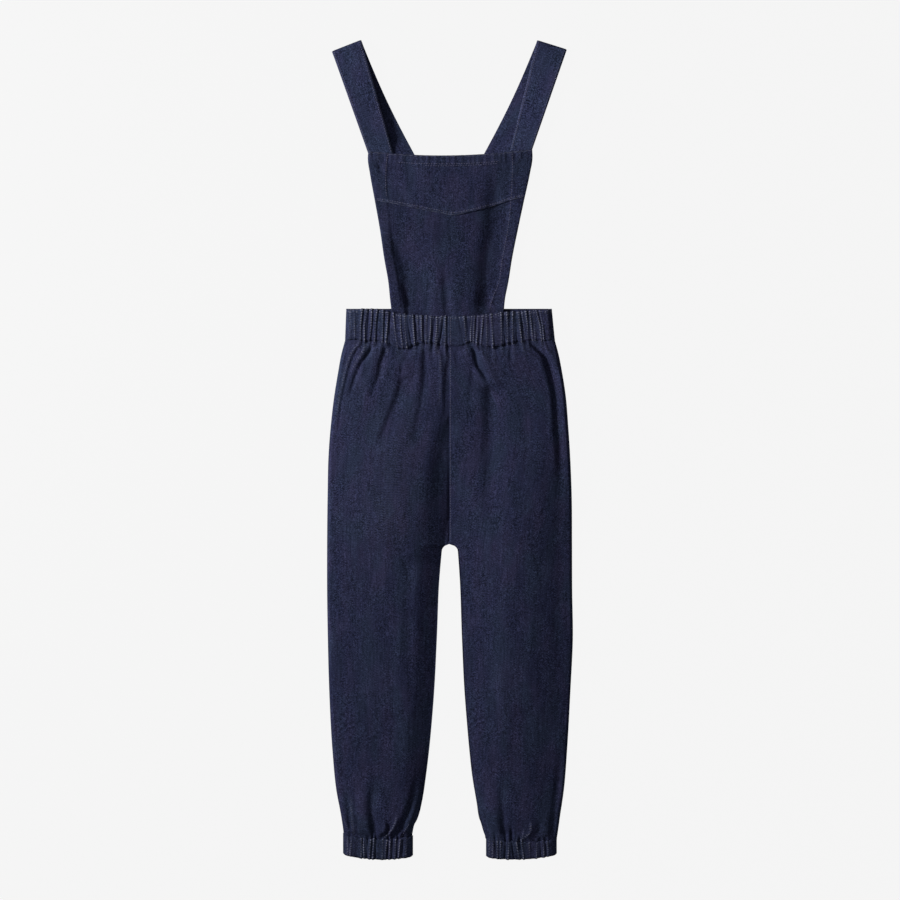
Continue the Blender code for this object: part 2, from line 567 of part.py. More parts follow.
def cuff(spec):
    """A gathered band round the ankle, as one flattened ring."""
    middle, half = (spec.inner + spec.outer) / 2, abs(spec.outer - spec.inner) / 2
    reach = half - CUFF_SHOULDER
    lines = gather_lines(spec.gathers, -reach, reach, [], 0.25, 11 + spec.side)
    along = gather_columns(lines, -reach, reach)
    ridge = gather_height(along, lines, CUFF_RIDGE)
    x_round, z_round = ring_section(half, CUFF_LOFT, CUFF_SHOULDER, CUFF_CORNER, 4)
    x_plain, z_plain = ring_section(half - CUFF_CASING, CUFF_LOFT - 2 * CUFF_CASING,
                                    CUFF_SHOULDER - CUFF_CASING, CUFF_CORNER - CUFF_CASING, 3)
    outer, inner = [], []
    for share_up, drop in CUFF_ROWS:
        x = np.concatenate([along, x_round]) + middle
        z = np.concatenate([CUFF_LOFT + ridge - drop, z_round])
        outer.append((x, z, share_up))
    for share_up in (1.0, 0.0):
        x = np.concatenate([along, x_plain]) + middle
        z = np.concatenate([np.full_like(along, CUFF_LOFT - CUFF_CASING), z_plain + CUFF_CASING])
        inner.append((x, z, share_up))

    def placed(rows):
        grid = []
        for x, z, share_up in rows:
            low = cuff_edge_y(spec, x, spec.bottom, spec.bottom_dip)
            high = cuff_edge_y(spec, x, spec.top, spec.top_dip)
            grid.append(np.stack([x, low + (high - low) * share_up, z], axis=1))
        return np.array(grid)

    name = "cuff_right" if spec.side == RIGHT else "cuff_left"
    wall(name, placed(outer), placed(inner), "denim_gathered", ring=True)


# ---- Bib ----
def bib_top_y(x):
    share = x / BIB_TOP_HALF
    return BIB_TOP_Y - BIB_TOP_DIP * (1 - np.clip(np.abs(share), 0, 1) ** 2) + BIB_TOP_TILT * share


def bib_columns(y):
    """The x of a bib row's points, with its hems' inner edges among them."""
    right, left = column(BIB_SECTIONS, "right", y), column(BIB_SECTIONS, "left", y)
    right_hem = right + column(BIB_SECTIONS, "right_hem", y)
    left_hem = left - column(BIB_SECTIONS, "left_hem", y)
    middle = np.linspace(right_hem + HEM_STEP, left_hem - HEM_STEP, BIB_COLUMNS)
    right_side = [right, right + EDGE_ROUND_WIDTH, right_hem - HEM_STEP]
    return np.concatenate([right_side, middle, [left_hem + HEM_STEP, left - EDGE_ROUND_WIDTH, left]])


def bib_underside(x, y):
    tuck = ease((BIB_RAMP[0] - y) / (BIB_RAMP[0] - BIB_RAMP[1]))
    in_band = ease((BIB_RAMP[1] - y) / BAND_GRIP)
    folds = fold_height(BIB_FOLDS, x, y) * (1 - (1 - GRIPPED_FOLDS) * in_band)
    return BIB_UNDER_Z + (BIB_TUCK_Z - BIB_UNDER_Z) * tuck + folds - np.maximum(folds, 0) * in_band


def bib_piece(name, edge_high, edge_low, shares, top_hem):
    """A piece of the bib between two edges given as functions of x, with its side hems doubled."""
    outer, inner = [], []
    for share in shares:
        guess = edge_high(0.0) + (edge_low(0.0) - edge_high(0.0)) * share
        x = bib_columns(guess)
        for _ in range(2):
            y = edge_high(x) + (edge_low(x) - edge_high(x)) * share
            x = np.array([bib_columns(y[k])[k] for k in range(len(x))])
        doubled = np.zeros_like(x)
        doubled[[0, 1, 2, -3, -2, -1]] = 1.0
        if top_hem:
            doubled = np.maximum(doubled, (edge_high(x) - y < TOP_HEM) * 1.0)
        under_band = ease((BIB_RAMP[1] - y) / BAND_GRIP)
        rounded = np.zeros_like(x)
        rounded[[0, -1]] = EDGE_ROUND_DROP
        thick = CLOTH + HEM_EXTRA * doubled * (1 - under_band) - rounded
        under = bib_underside(x, y)
        outer.append(np.stack([x, y, under + thick], axis=1))
        inner.append(np.stack([x, y, under], axis=1))
    wall(name, np.array(outer), np.array(inner), "denim_panels")


def bib():
    bib_piece("bib_yoke", bib_top_y, lambda x: through(YOKE_SEAM, x) + SEAM_GAP / 2,
              YOKE_SHARES, True)
    bib_piece("bib_panel", lambda x: through(YOKE_SEAM, x) - SEAM_GAP / 2, lambda x: BIB_TAIL_Y + 0 * x,
              PANEL_SHARES, False)


# ---- Straps ----
def strap(spec):
    """One strap: from behind the bib's hem up to the fold, over it, and down under the bib to the back."""
    fold_outer, fold_inner = np.array(spec.fold_outer), np.array(spec.fold_inner)
    line = (fold_inner - fold_outer) / np.linalg.norm(fold_inner - fold_outer)
    away = np.array([-line[1], line[0]])
    away *= np.sign(away[1])
    bend = (STRAP_AT_FOLD_Z + STRAP) / 2  # outer radius of the fold
    base_outer, base_inner = fold_outer - bend * away, fold_inner - bend * away
    bib_outer, bib_inner = np.array(spec.bib_outer), np.array(spec.bib_inner)
    rows = []  # (outer edge, inner edge, height of the outside face, direction into the strap)
    tucked = 1.0 + STRAP_TUCK / np.linalg.norm(bib_outer - base_outer)
    for share in [tucked, *STRAP_FRONT_ROWS]:
        a, b = base_outer + (bib_outer - base_outer) * share, base_inner + (bib_inner - base_inner) * share
        under = STRAP_SAG_Z + (STRAP_AT_BIB_Z - STRAP_SAG_Z) * ease((share - STRAP_RISE[0]) / STRAP_RISE[1])
        under = under + (STRAP_AT_FOLD_Z - under) * (1 - ease(share / STRAP_SETTLE))
        rows.append((a, b, under + STRAP, (0.0, 0.0, -1.0)))
    for turn in np.linspace(0, math.pi, STRAP_BEND_STEPS):
        shift = away * bend * math.sin(turn)
        into = (-away[0] * math.sin(turn), -away[1] * math.sin(turn), -math.cos(turn))
        rows.append((base_outer + shift, base_inner + shift, bend + bend * math.cos(turn), into))
    waist_outer, waist_inner = np.array(spec.waist_outer), np.array(spec.waist_inner)
    for share in STRAP_BACK_ROWS:
        a = base_outer + (waist_outer - base_outer) * share
        b = base_inner + (waist_inner - base_inner) * share
        middle = (a[1] + b[1]) / 2
        lift = 0.0
        if spec.over:
            lift = float(ease((middle - CROSSING[0]) / CROSSING_RAMP + 1)
                         * ease((CROSSING[1] - middle) / CROSSING_RAMP + 1)) * (STRAP + SEAM_GAP)
        rows.append((a, b, lift, (0.0, 0.0, 1.0)))
    outer, inner = [], []
    for a, b, height, into in rows:
        width = np.linalg.norm(b - a)
        outer_row, inner_row = [], []
        edge = EDGE_ROUND_WIDTH / width
        for share in (0, edge, 0.5, 1 - edge, 1):
            point = np.array([*(a + (b - a) * share), height])
            drop = EDGE_ROUND_DROP if share in (0, 1) and into[2] < 0.5 else 0.0
            outer_row.append(point + np.array(into) * drop)
            inner_row.append(point + np.array(into) * STRAP)
        outer.append(outer_row)
        inner.append(inner_row)
    outer, inner = np.array(outer), np.array(inner)
    if spec.side == RIGHT:
        outer, inner = outer[::-1], inner[::-1]
    wall(spec.name, outer, inner, "denim_straps")


for leftover in list(bpy.data.objects):
    bpy.data.objects.remove(leftover)
COLLECTION = bpy.data.collections.new("dungarees")
bpy.context.scene.collection.children.link(COLLECTION)

for which in (RIGHT, LEFT):
    leg_front(which)
    leg_back(which)
waistband_front()
waistband_back()
for ankle in CUFFS:
    cuff(ankle)
bib()
for shoulder_strap in STRAPS:
    strap(shoulder_strap)
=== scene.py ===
"""The look of the child's dungarees, laid out flat on their back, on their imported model.

Every piece of cloth is a thin shell on its solid's form, with its gathers, creases, seams and
stitches. +X is the wearer's left, +Y runs from the cuffs to the straps and +Z up from the surface.
Sizes are in millimetres, and MM turns them into Blender's metres.
"""

import math
import random
from collections import namedtuple

import bpy
import numpy as np
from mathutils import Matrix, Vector
from mathutils.bvhtree import BVHTree


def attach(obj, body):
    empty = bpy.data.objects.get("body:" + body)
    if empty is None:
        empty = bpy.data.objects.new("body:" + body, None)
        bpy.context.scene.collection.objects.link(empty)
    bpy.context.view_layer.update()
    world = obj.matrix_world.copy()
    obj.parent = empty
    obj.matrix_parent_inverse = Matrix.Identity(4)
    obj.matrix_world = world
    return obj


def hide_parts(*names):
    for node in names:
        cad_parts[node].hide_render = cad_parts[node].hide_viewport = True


MM = 0.001
RIGHT, LEFT = -1, 1
SIDE_NAMES = {RIGHT: "right", LEFT: "left"}


def rows_of(kind, rows):
    """A table of named tuples."""
    return [kind(*row) for row in rows]


# ---- Camera and light ----
CAMERA_HEIGHT = 3.5  # metres
FRAME_WIDTH = 1.08  # metres across the picture, on the garment
SENSOR_WIDTH = 36.0
SHARP_HEIGHT = 0.006  # metres: the garment's middle height, where the picture has that width
FLOOR_LEVEL = 0.907  # linear brightness of the surface, as the camera sees it
KEY_PLACE = (-1.20, 0.45, 0.63)
KEY_AIM = (0.0, -0.02, 0.0)
KEY_SIZE = 0.35
KEY_WATTS = 33.0
SKY_LEVEL = 0.23
FLOOR_HALF, FLOOR_Z = 3.0, -0.0003  # metres
WHITE, BLACK = (1.0, 1.0, 1.0, 1.0), (0.006, 0.006, 0.006, 1.0)

# ---- Cloth ----
CLOTH = 1.3
FRONT_CLOTH = 2.0  # with the seam allowances behind it
HEM_EXTRA = 0.8  # how much thicker a hem is
CASING = 2.8  # the waistband's wall: double cloth with the elastic in it
STRAP = 1.8  # each layer of a strap
SEAM_TUCK = 1.8  # how far a panel runs in under the band or cuff it is sewn to
SEAM_DIP = 1.3  # how far it sinks there
BACK_LIFT = 0.9  # how far the back panel's ends rise instead
COARSE = 3  # the inner face has one row and column for each three of the outer face

# ---- Trousers ----
Side = namedtuple("Side", "y right left loft")  # outer edges, and the height of the upper face
SIDES = rows_of(Side, [
    (126, -126, 126, 13),
    (110, -130.4, 130.4, 15.6),
    (90, -134.3, 134.6, 15.8),
    (62, -139.2, 139.2, 15.4),
    (29, -143.2, 142, 15),
    (-5, -145.8, 144.2, 15),
    (-55, -147, 146.2, 15),
    (-113, -147.6, 146.6, 15),
    (-170, -147.6, 146.8, 15),
    (-223, -146.8, 147.6, 14.6),
    (-290, -145, 144.6, 14.2),
    (-358, -141.4, 140.8, 14),
    (-408, -136.6, 136.8, 14.2),
    (-441, -131, 132, 14.6),
    (-466, -127.8, 128.2, 12.5),
])
Inseam = namedtuple("Inseam", "y right left")
INSEAMS = rows_of(Inseam, [
    (-466, -45.6, 42.6),
    (-455, -43.2, 38.8),
    (-441, -37.8, 34.6),
    (-425, -34, 32.2),
    (-391, -28.8, 26.6),
    (-358, -24.8, 23),
    (-324, -21.6, 20),
    (-290, -19, 17.4),
    (-223, -15.6, 14.2),
    (-156, -12.8, 11.8),
    (-121, -9.8, 9.4),
])
TOP_ROW_Y, LAST_ROW_Y = SIDES[0].y, SIDES[-1].y
CENTRE_SEAM_X = -1
CROTCH_Y, CROTCH_TURN = -113.5, 11
ARCH_RISE, ARCH_HALF, ARCH_ROUNDING = 8, 9.5, 26
SIDE_SEAM_Z = 3.3
Edge = namedtuple("Edge", "y right right_ramp right_drop left left_ramp left_drop")
SIDE_EDGES = rows_of(Edge, [  # a leg's outer side: how wide its tight edge is, then a ramp's width and height
    (-466, 6, 26, 2.6, 6, 34, 3.6),
    (-400, 5.5, 34, 2.4, 5, 44, 5.2),
    (-200, 5, 40, 1.6, 4.5, 50, 6.6),
    (-90, 5, 40, 1.6, 4.5, 48, 6.4),
    (-40, 5, 36, 1.6, 4.5, 40, 4.4),
    (20, 5, 30, 1.6, 4.5, 20, 1.2),
    (132, 5, 24, 1.6, 4.5, 12, 0.5),
])
Valley = namedtuple("Valley", "y depth right_reach right_steep left_reach left_steep")
VALLEYS = rows_of(Valley, [  # along the centre seam and down the inseams
    (-466, 10, 64, 0.9, 64, 0.5),
    (-430, 11, 63, 0.75, 66, 0.4),
    (-380, 11.4, 57, 0.3, 70, 0.2),
    (-290, 11.6, 49, 0, 74, 0.1),
    (-200, 11.7, 45, 0, 78, 0),
    (-150, 11.7, 43.5, 0, 80, 0),
    (-113, 11.7, 44, 0.2, 84, 0),
    (-90, 11.6, 42, 0.2, 90, 0),
    (-55, 10.8, 38, 0.1, 96, 0),
    (-30, 8.8, 34, 0.1, 98, 0),
    (12, 4.4, 26, 0, 98, 0),
    (50, 1.4, 12, 0, 90, 0),
    (90, 0.9, 10, 0, 60, 0),
    (126, 0.5, 10, 0, 40, 0),
])
SEAM_DIPS = [(-113, 1.1), (-60, 1), (0, 0.45), (60, 0.3), (126, 0.3)]  # (y, the centre seam's depth)
SEAM_DIP_WIDTH = 1.4
SEAM_ROLL = [(-40, 0), (10, 1.6), (50, 3), (110, 3), (132, 2)]  # (y, side seam to edge)
ROW_STEPS = [  # (from y, to y, spacing) of a leg's rows of points
    (126, 26, 1.25), (26, -96, 2.2), (-96, -126, 1), (-126, -400, 2.6),
    (-400, -466, 1.25),
]
RAMP_SHARE = 0.7  # the straight part of the slope down to an inseam
WAIST_BLEND_Y, CUFF_BLEND_Y = 30, -400  # past these, rows bend to meet the band and the cuff
EDGE_COLUMNS, SIDE_COLUMNS, LEVEL_COLUMNS, SEAM_COLUMNS, FLOOR_COLUMNS = 12, 30, 50, 28, 6
CROTCH_FLOOR, CROTCH_FLOOR_Y = 6, -60  # half the valley floor above the crotch, and where it starts
FLOOR_PAST_SEAM = 0.6  # and elsewhere
HELD_BY_WAIST, HELD_BY_CUFF = 11, 9  # how far the bands flatten the creases
Hollow = namedtuple("Hollow", "reach pitch drift sway")  # small waves where the back is gathered
HOLLOWS = rows_of(Hollow, [(26, 0.62, 0.21, 1.5), (20, 0.7, 0.17, 1)])  # at the waist and at the cuff
HOLLOW_HEIGHT, FLAT_BELOW = 0.55, 0.5

# Creases: height (a trough's is negative), half width, (y, x) points from strong to faint end, and how
# much wider the right-hand half is.
Crease = namedtuple("Crease", "height width path open", defaults=(1,))
HIP_CREASES = rows_of(Crease, [
    (0.9, 1.9, [(128, -110.6), (116, -118.6), (104, -123.4), (80, -129.4), (48, -135.4), (12, -139.2)]),
    (-1, 1.8, [(128, -106.6), (116, -114.6), (104, -119.4), (80, -125.6), (48, -132.2), (12, -136.2)]),
    (1.2, 2.2, [(128, -99.8), (120, -104), (106, -112.5), (92, -120)]),
    (-2.4, 2.6, [(124, -95), (116, -99.5), (105.6, -106.6), (91, -113.8), (73, -119.6), (60, -123)], 1.5),
    (1, 4.6, [(120, -92), (105, -94.6), (91, -99), (73, -106)]),
    (-2.6, 3, [(126, -79.6), (117, -81), (105.6, -84.6), (91, -87), (73, -93.4), (60, -98)], 1.9),
    (1, 1.8, [(126, -75.6), (112, -76)]),
    (-1.2, 3.2, [(122, -51), (112, -54), (102, -57)]),
    (-1.6, 2, [(100, -59.4), (91, -60), (84, -61)], 1.6),
    (-2.5, 4.4, [(86, -60.6), (73, -62.6), (60, -67), (49, -72), (36, -77), (22, -82), (0, -90)], 4),
    (1, 2.8, [(122, -40.6), (92, -39.8), (60, -44)]),
    (-2, 2.4, [(122, -31.4), (106, -32.6), (91, -32.8), (73, -34.4), (49, -38.4), (36, -41.2)], 3),
    (-1.1, 4.6, [(44, -40.4), (22, -43.4), (0, -46)], 2.4),
    (-1.3, 3.8, [(124, -24), (112, -23), (100, -22)]),
    (0.8, 2, [(124, -16), (116, -13.6), (106, -12.4), (91, -11.6), (73, -12), (50, -14)]),
    (-1.1, 3, [(106, -4.6), (73, -6.8), (49, -7.2), (34, -9)], 1.6),
    (-2.1, 8.4, [(36, -3), (22, -6.5), (4, -11), (-20, -15.4), (-48, -16.4), (-80, -16)]),
    (-0.8, 4, [(-20, 3), (-50, 3.4), (-90, 3.4)], 2.4),
    (-1.5, 4, [(122, 5), (112, 6), (100, 7)]),
    (-3.8, 3.2, [(134, 20), (126, 24), (114, 28), (106, 29.4), (98, 32.5), (91, 37.8), (82, 42.2),
        (73, 45)], 1.5),
    (-1.3, 2.6, [(98, 24.4), (91, 24.6), (73, 23.4), (50, 21.6)], 1.8),
    (-4.4, 7, [(76, 44.2), (62, 44), (49, 43.2), (22, 43), (-9, 42), (-50, 41), (-95, 40)], 2),
    (1.1, 3.6, [(118, 36), (98, 45), (80, 52), (60, 56), (30, 58)]),
    (1.2, 2, [(128, 60), (122, 50), (118, 46)]),
    (-1.6, 2.8, [(124, 69.6), (113, 70), (100, 70.6)], 1.6),
    (1.3, 2.6, [(127, 76.4), (122, 84), (116, 93), (107, 104), (94, 111)]),
    (-4.6, 4.8, [(129, 93), (121, 101.4), (112, 110.4), (101, 114.4), (87, 118.2), (71, 121.4),
        (53, 123.4), (30, 124.8), (0, 127.4), (-50, 130)], 1.7),
    (0.9, 2.6, [(127, 110), (118, 117), (104, 124), (88, 130), (60, 134)]),
    (-1.2, 8, [(50, 84), (20, 86), (-20, 86)]),
])
LEG_CREASES = rows_of(Crease, [
    (3, 44, [(-110, -100), (-60, -94), (0, -89), (80, -89)], 0.6),
    (-1.9, 8, [(-130, -55), (-230, -52), (-330, -50), (-390, -52)], 3),
    (0.8, 10, [(-60, -88), (-140, -84), (-240, -92)]),
    (-0.4, 9, [(-120, -112), (-200, -116), (-300, -112)]),
    (-0.7, 8, [(-230, -78), (-300, -72), (-370, -74)]),
    (0.3, 10, [(-80, 62), (-170, 66), (-280, 72)]),
    (-0.4, 10, [(-60, 96), (-160, 102), (-260, 98)]),
    (-1.5, 7, [(-20, 127), (-110, 127), (-220, 126), (-330, 126)]),
    (0.7, 8, [(-260, 56), (-340, 60), (-390, 58)]),
    (-0.6, 6, [(-300, 88), (-380, 92)]),
])
ANKLE_CREASES = rows_of(Crease, [
    (1, 2, [(-454, -123.4), (-435, -130.2)]),
    (-2, 2.6, [(-454, -120.6), (-426, -123.6), (-404, -125)]),
    (1.2, 2.2, [(-461, -115.7), (-438, -118.4), (-412, -119)]),
    (1.3, 6, [(-452, -106), (-430, -110), (-405, -108)]),
    (-3.4, 5.2, [(-463, -94.5), (-452, -94.8), (-432, -97.2), (-412, -97), (-396, -96)], 1.5),
    (1.5, 3.4, [(-463, -87.6), (-452, -80.4), (-440, -83)]),
    (-3, 2.9, [(-465, -82.5), (-455, -75.2), (-443, -77.4)]),
    (1.7, 2.2, [(-465, -79.8), (-457, -72.2), (-447, -66.6), (-436, -64)]),
    (-3.6, 4.8, [(-464, -71), (-459, -65.5), (-447, -59.6), (-434, -53.4), (-416, -47.4), (-390, -43)]),
    (1.5, 2.6, [(-456, -53.4), (-443, -47.6), (-418, -40.6)]),
    (-2.6, 5.4, [(-464, 64.5), (-452, 61.4), (-434, 60.4), (-414, 58.8), (-390, 58)]),
    (-3, 12, [(-464, 58), (-440, 55), (-414, 51), (-384, 48), (-350, 47)], 3),
    (-3, 2.6, [(-469, 73.6), (-461, 72.2), (-452, 72)]),
    (1.3, 1.9, [(-464, 86), (-452, 88.6)]),
    (1.9, 1.9, [(-470, 79.5), (-465, 88), (-461, 93), (-453, 95.9), (-443, 96.4)]),
    (-1.8, 4, [(-464, 101), (-452, 104), (-440, 104)]),
    (-3.2, 5.4, [(-462, 119.4), (-444, 121), (-426, 122.6), (-392, 127), (-360, 129)]),
    (1, 2.6, [(-462, 113), (-448, 113.4), (-430, 115)]),
])
TROUSER_CREASES = [*HIP_CREASES, *LEG_CREASES, *ANKLE_CREASES]
LINE_WIDTH = 2.5  # ridges narrower than this get a light line by the crest: wear, and painted highlight on the lit flank
LIP, BROAD = 0.6, 6  # the cloth stands up beside a trough, unless the trough is a broad one
SHADE_SHIFT = 0.65  # a crease's path follows its wall, and its middle is this share of a width further
CREASE_END, FAINT_SHARE = 11, 0.35  # how long the strong end fades, and what share the faint end does
AT_STRONG_END, AT_FAINT_END = 0.5, 0.15  # how far the fading has come at the path's ends
CREASE_LOSS = 0.45  # the share of its height that a crease loses from end to end
CREASE_ONSET = 0.7  # below 1, creases start early on the way up a leg's side

# ---- Waistband ----
WAIST_LOFT = 13.3
WAIST_SEAM_Z = 5
WAIST_INSIDE_Z = 10.6
WAIST_HALF_TOP, WAIST_HALF_BOTTOM = 123.4, 126
WAIST_LEAN = 1.2  # the band's upper edge lies this far to the wearer's right
WAIST_TOP = [(-126, 168.4), (-80, 167.6), (-68, 164.6), (-42, 161.9), (0, 160.4), (30, 161.2),
             (60, 164.6), (85, 166.4), (126, 168.4)]  # (x, y) along the upper edge
WAIST_BOTTOM = [(-127, 131.6), (-112, 132.6), (-104, 130.6), (-78, 129.4), (-68, 124.6), (-60, 122.2),
                (-50, 122.8), (-40, 127.2), (-24, 128.2), (-10, 125.4), (2, 124.2), (15, 125.4), (25, 130.2),
                (34, 126.6), (52, 123.8), (66, 126.2), (80, 129.2), (96, 131.2), (112, 131), (127, 131.4)]
BACK_TOP_Y, BACK_BOTTOM_Y = 169.6, 131
WAIST_SHOULDER, WAIST_WIDTH, WAIST_TOP_DROP = 8, 38, 1.5
BAND_TOP_ROUND, BAND_BOTTOM_ROUND, BAND_BOTTOM_DROP = 1.3, 1.1, 1.4  # a band's rounded edges
RIM_PUSH = 0.7  # a gather pushes the band's rim out by this share of its height
HEM_PULL, PULL_SHARE = 1.7, 0.16  # and pulls its lower edge down, over this share of the band
# The waistband's dotted rim and its gathers' crest lines are lightened: partly wear, partly painted
# highlight.
RIM_RUB_AND_HIGHLIGHT, RIM_PLACE, RIM_SHARE, CREST_RUB_AND_HIGHLIGHT, MOST_RUB_AND_HIGHLIGHT = 0.55, 0.95, 0.05, 0.40, 0.9
GATHER_LINING, LINING_SHARE = 1.6, 0.8  # how far below the gathers the lining is, and how far in
BACK_GATHER_DROP, BACK_GATHER_GAIN, BACK_GATHER_MOST = 1.1, 1.7, 1.6  # the back's valleys
Gather = namedtuple("Gather", "height top middle bottom")  # x at the upper edge, half way and lower edge
WAIST_GATHERS = rows_of(Gather, [
    (0.7, -114.6, -114.2, -113.8), (0.5, -119.4, -119.4, -119.6), (0.5, 116.6, 117.6, 118),
    (1.5, -104.9, -106.8, -107.5), (1.5, -99.2, -102.5, -102.2), (1.3, -93.6, -94, -96.6),
    (1.3, -87, -89.4, -90), (1.3, -80, -80.4, -80.9), (1.6, -73.9, -75.2, -76.9),
    (1.2, -67.8, -66, -62.4), (1.1, -59.5, -58.8, -56.4), (1.1, -54.2, -53.4, -51.2),
    (1.8, -44.6, -43.4, -42), (0.8, -39, -38.6, -38.2), (1.7, -34.2, -34, -33.4),
    (0.9, -28.1, -28.4, -28.6), (1.5, -22.6, -23.1, -24.8), (1.3, -15.4, -15.8, -18.2),
    (1.3, -9.8, -13.8, -16.3), (1.5, -5.4, -5.6, -5.9), (1, 16.8, 18.6, 19.8), (1.4, 26.4, 25.2, 24.7),
    (1.1, 29.5, 28.8, 28.2), (1.2, 33.8, 33, 31.7), (1.2, 40, 38.2, 36.5), (0.7, 43.9, 44.2, 44.4),
    (1.6, 49.2, 50.8, 51.7), (1.5, 61.3, 61.8, 61.8), (1.4, 68.4, 68.9, 69.2), (1.6, 75.4, 75.1, 75.4),
    (1.6, 81.8, 84, 86.3), (0.7, 86.4, 88.4, 90.2), (1.4, 91, 93, 93), (1.2, 95.8, 97.6, 99.2),
    (0.8, 100.6, 101.5, 102.4), (1.3, 103.2, 108, 109.8), (1.2, 107.6, 111, 112.6),
])
WAIST_TUCKS = rows_of(Gather, [  # the sharp valleys between some of the gathers
    (1.6, -103.4, -104.9, -104.9), (1.6, -97.2, -98.6, -99.4), (1.5, -92, -93, -94.8),
    (1.4, -85.2, -87, -88.2), (1.8, -78.2, -78.7, -79.4), (1.9, -71.8, -72.6, -72.1),
    (1.6, -51.6, -49.2, -45.6), (2, -42.4, -40.4, -38.4), (1.9, -31.9, -31.8, -31.4),
    (2.4, -17.6, -20.4, -22), (2.5, -7.4, -9.9, -13.3), (1.2, -3.1, -3.1, -3.2), (0.9, 10, 13, 16.4),
    (1.9, 19.6, 21.8, 23.6), (1.4, 31.6, 30.8, 30), (1.4, 37, 36, 34.6), (1.2, 46.4, 47.8, 48.6),
    (1.7, 64, 65, 66), (1.6, 71.8, 71.8, 72.2), (1.4, 78.6, 79.2, 80.2), (1.8, 84.5, 87, 90),
    (1.7, 93.6, 95.4, 96.6), (1.1, 105.4, 109.6, 111.2),
])
GATHER_RISE, GATHER_FALL = 2.1, 1.1  # half widths of a gather's slow left side and steep right side
GATHER_SHARE, TUCK_WIDTH, TUCK_SHARE, TUCK_SHIFT = 0.52, 1, 0.4, 0.4
GATHER_SWELL = 0.5  # how much of a gather's height comes and goes along it
# The gathers' crest lines sit CREST_SHIFT to the left of each crest, on the flank facing the light: painted
# highlight.
CREST_WIDTH, CREST_SHIFT = 0.62, 0.3
RUN_WIDTH, TUCK_RUN_WIDTH, RUN_FLARE = 1.5, 1.3, 0.06  # where gathers and tucks run on into the leg
Runs = namedtuple("Runs", "seed edge share tuck_share lengths tuck_lengths slant fan tuck_shift tuck_flare")
WAIST_RUNS = Runs(5, "bottom", 0.8, 0.6, (7, 20), (6, 16), 0.1, 0.0016, 0.6, 0.08)
CUFF_RUNS = {side: Runs(9 + side, "top", 0.75, 0.7, (5, 13), (4, 9), 0.3, 0, 0, 0.07)
             for side in (RIGHT, LEFT)}
# (x, how far the legs' cloth lies below the band's where they meet)
WAIST_STEPS = [(-127, 1), (-72, 1), (-66, 2.6), (-46, 2.6), (-40, 1.8), (-20, 1.9), (-12, 1.1), (0, 0.9),
               (16, 1), (24, 1.8), (30, 1), (44, 2.4), (60, 2.4), (72, 1.1), (127, 1)]
BAND_COLUMNS, BAND_END_COLUMNS, BAND_LINES = 440, 12, 36

# ---- Cuffs ----
Cuff = namedtuple("Cuff", "side inner outer top bottom top_dip bottom_dip top_tilt bottom_tilt gathers tucks")
CUFFS = [
    Cuff(RIGHT, -44.4, -128.4, -462, -486.4, 4.4, 4.6, 2, 2.4, rows_of(Gather, [
        (1.1, -122.4, -122.6, -122.6), (1.4, -117.8, -118.8, -119.9), (1.4, -106, -106.2, -106.2),
        (1.2, -103.8, -103.2, -102.6), (1.5, -94.6, -96, -96.6), (1.6, -91, -92, -92.5),
        (1.1, -80, -80.6, -81.2), (1.2, -75.2, -76.6, -77.6), (1.7, -71.6, -72, -72.5),
        (1.4, -64.8, -65.4, -66), (1.6, -59.5, -60.6, -61.6), (0.9, -51.6, -52, -52.6),
    ]), rows_of(Gather, [
        (2, -120.4, -120.8, -121), (2.2, -105, -104.8, -104.6), (2.6, -98.4, -99.4, -100),
        (2.5, -92.8, -94, -94.6), (1.9, -88.4, -89, -89.6), (2.8, -74, -74.8, -75.6),
        (2.5, -68.8, -69.2, -69.8), (2.4, -62.4, -63, -64), (2.2, -56, -57, -58),
    ])),
    Cuff(LEFT, 43.2, 128.2, -465.6, -487, 4, 3.8, -1.8, 3, rows_of(Gather, [
        (1.1, 47.6, 47.2, 46.8), (1.2, 51.6, 51.4, 51.2), (1.4, 57, 57, 57.2), (1.2, 61.2, 60.8, 60.6),
        (1.6, 70.8, 70.4, 69.6), (1.7, 79.8, 81.4, 83.6), (1.5, 86, 87.2, 88.6), (0.8, 95, 95.4, 95.8),
        (1.4, 104.4, 104.2, 103.8), (1.2, 111.4, 112.4, 112.8), (1.3, 116.8, 117.4, 117.6),
    ]), rows_of(Gather, [
        (1.9, 45.2, 45, 44.8), (2.2, 54.4, 54.6, 54.8), (2.5, 66.6, 66, 65.2), (2.8, 73.8, 74.8, 77),
        (2.5, 83.2, 84.4, 86.4), (2.7, 108, 108.4, 108.4), (2.2, 114.2, 115, 115.2),
    ])),
]
CUFF_OF = {spec.side: spec for spec in CUFFS}
CUFF_LOFT, CUFF_CASING, CUFF_SHOULDER, CUFF_CORNER = 11.8, 2.4, 12, 4.6
CUFF_PLAIN_Z, CUFF_STEP, CUFF_WIDTH, CUFF_TOP_DROP = 5, 0.9, 24, 0.7
CUFF_UNDER_DROP, CUFF_UNDER_GAIN, CUFF_UNDER_MOST = 0.9, 1.5, 1.3  # the valleys under a cuff
CUFF_PULL = 0.5
# How the cuffs' upper faces and gathers' crests are lightened: partly wear, partly painted highlight.
CUFF_RUB_AND_HIGHLIGHT, CUFF_CREST_RUB_AND_HIGHLIGHT, CUFF_RUB_AND_HIGHLIGHT_FROM, CUFF_MOST_RUB_AND_HIGHLIGHT = 0.03, 0.5, 0.1, 0.85
CUFF_END_RISE, CUFF_END_WIDTH = 1.6, 3.4
CUFF_COLUMNS, CUFF_ROUND_COLUMNS, CUFF_LINES = 130, 16, 26

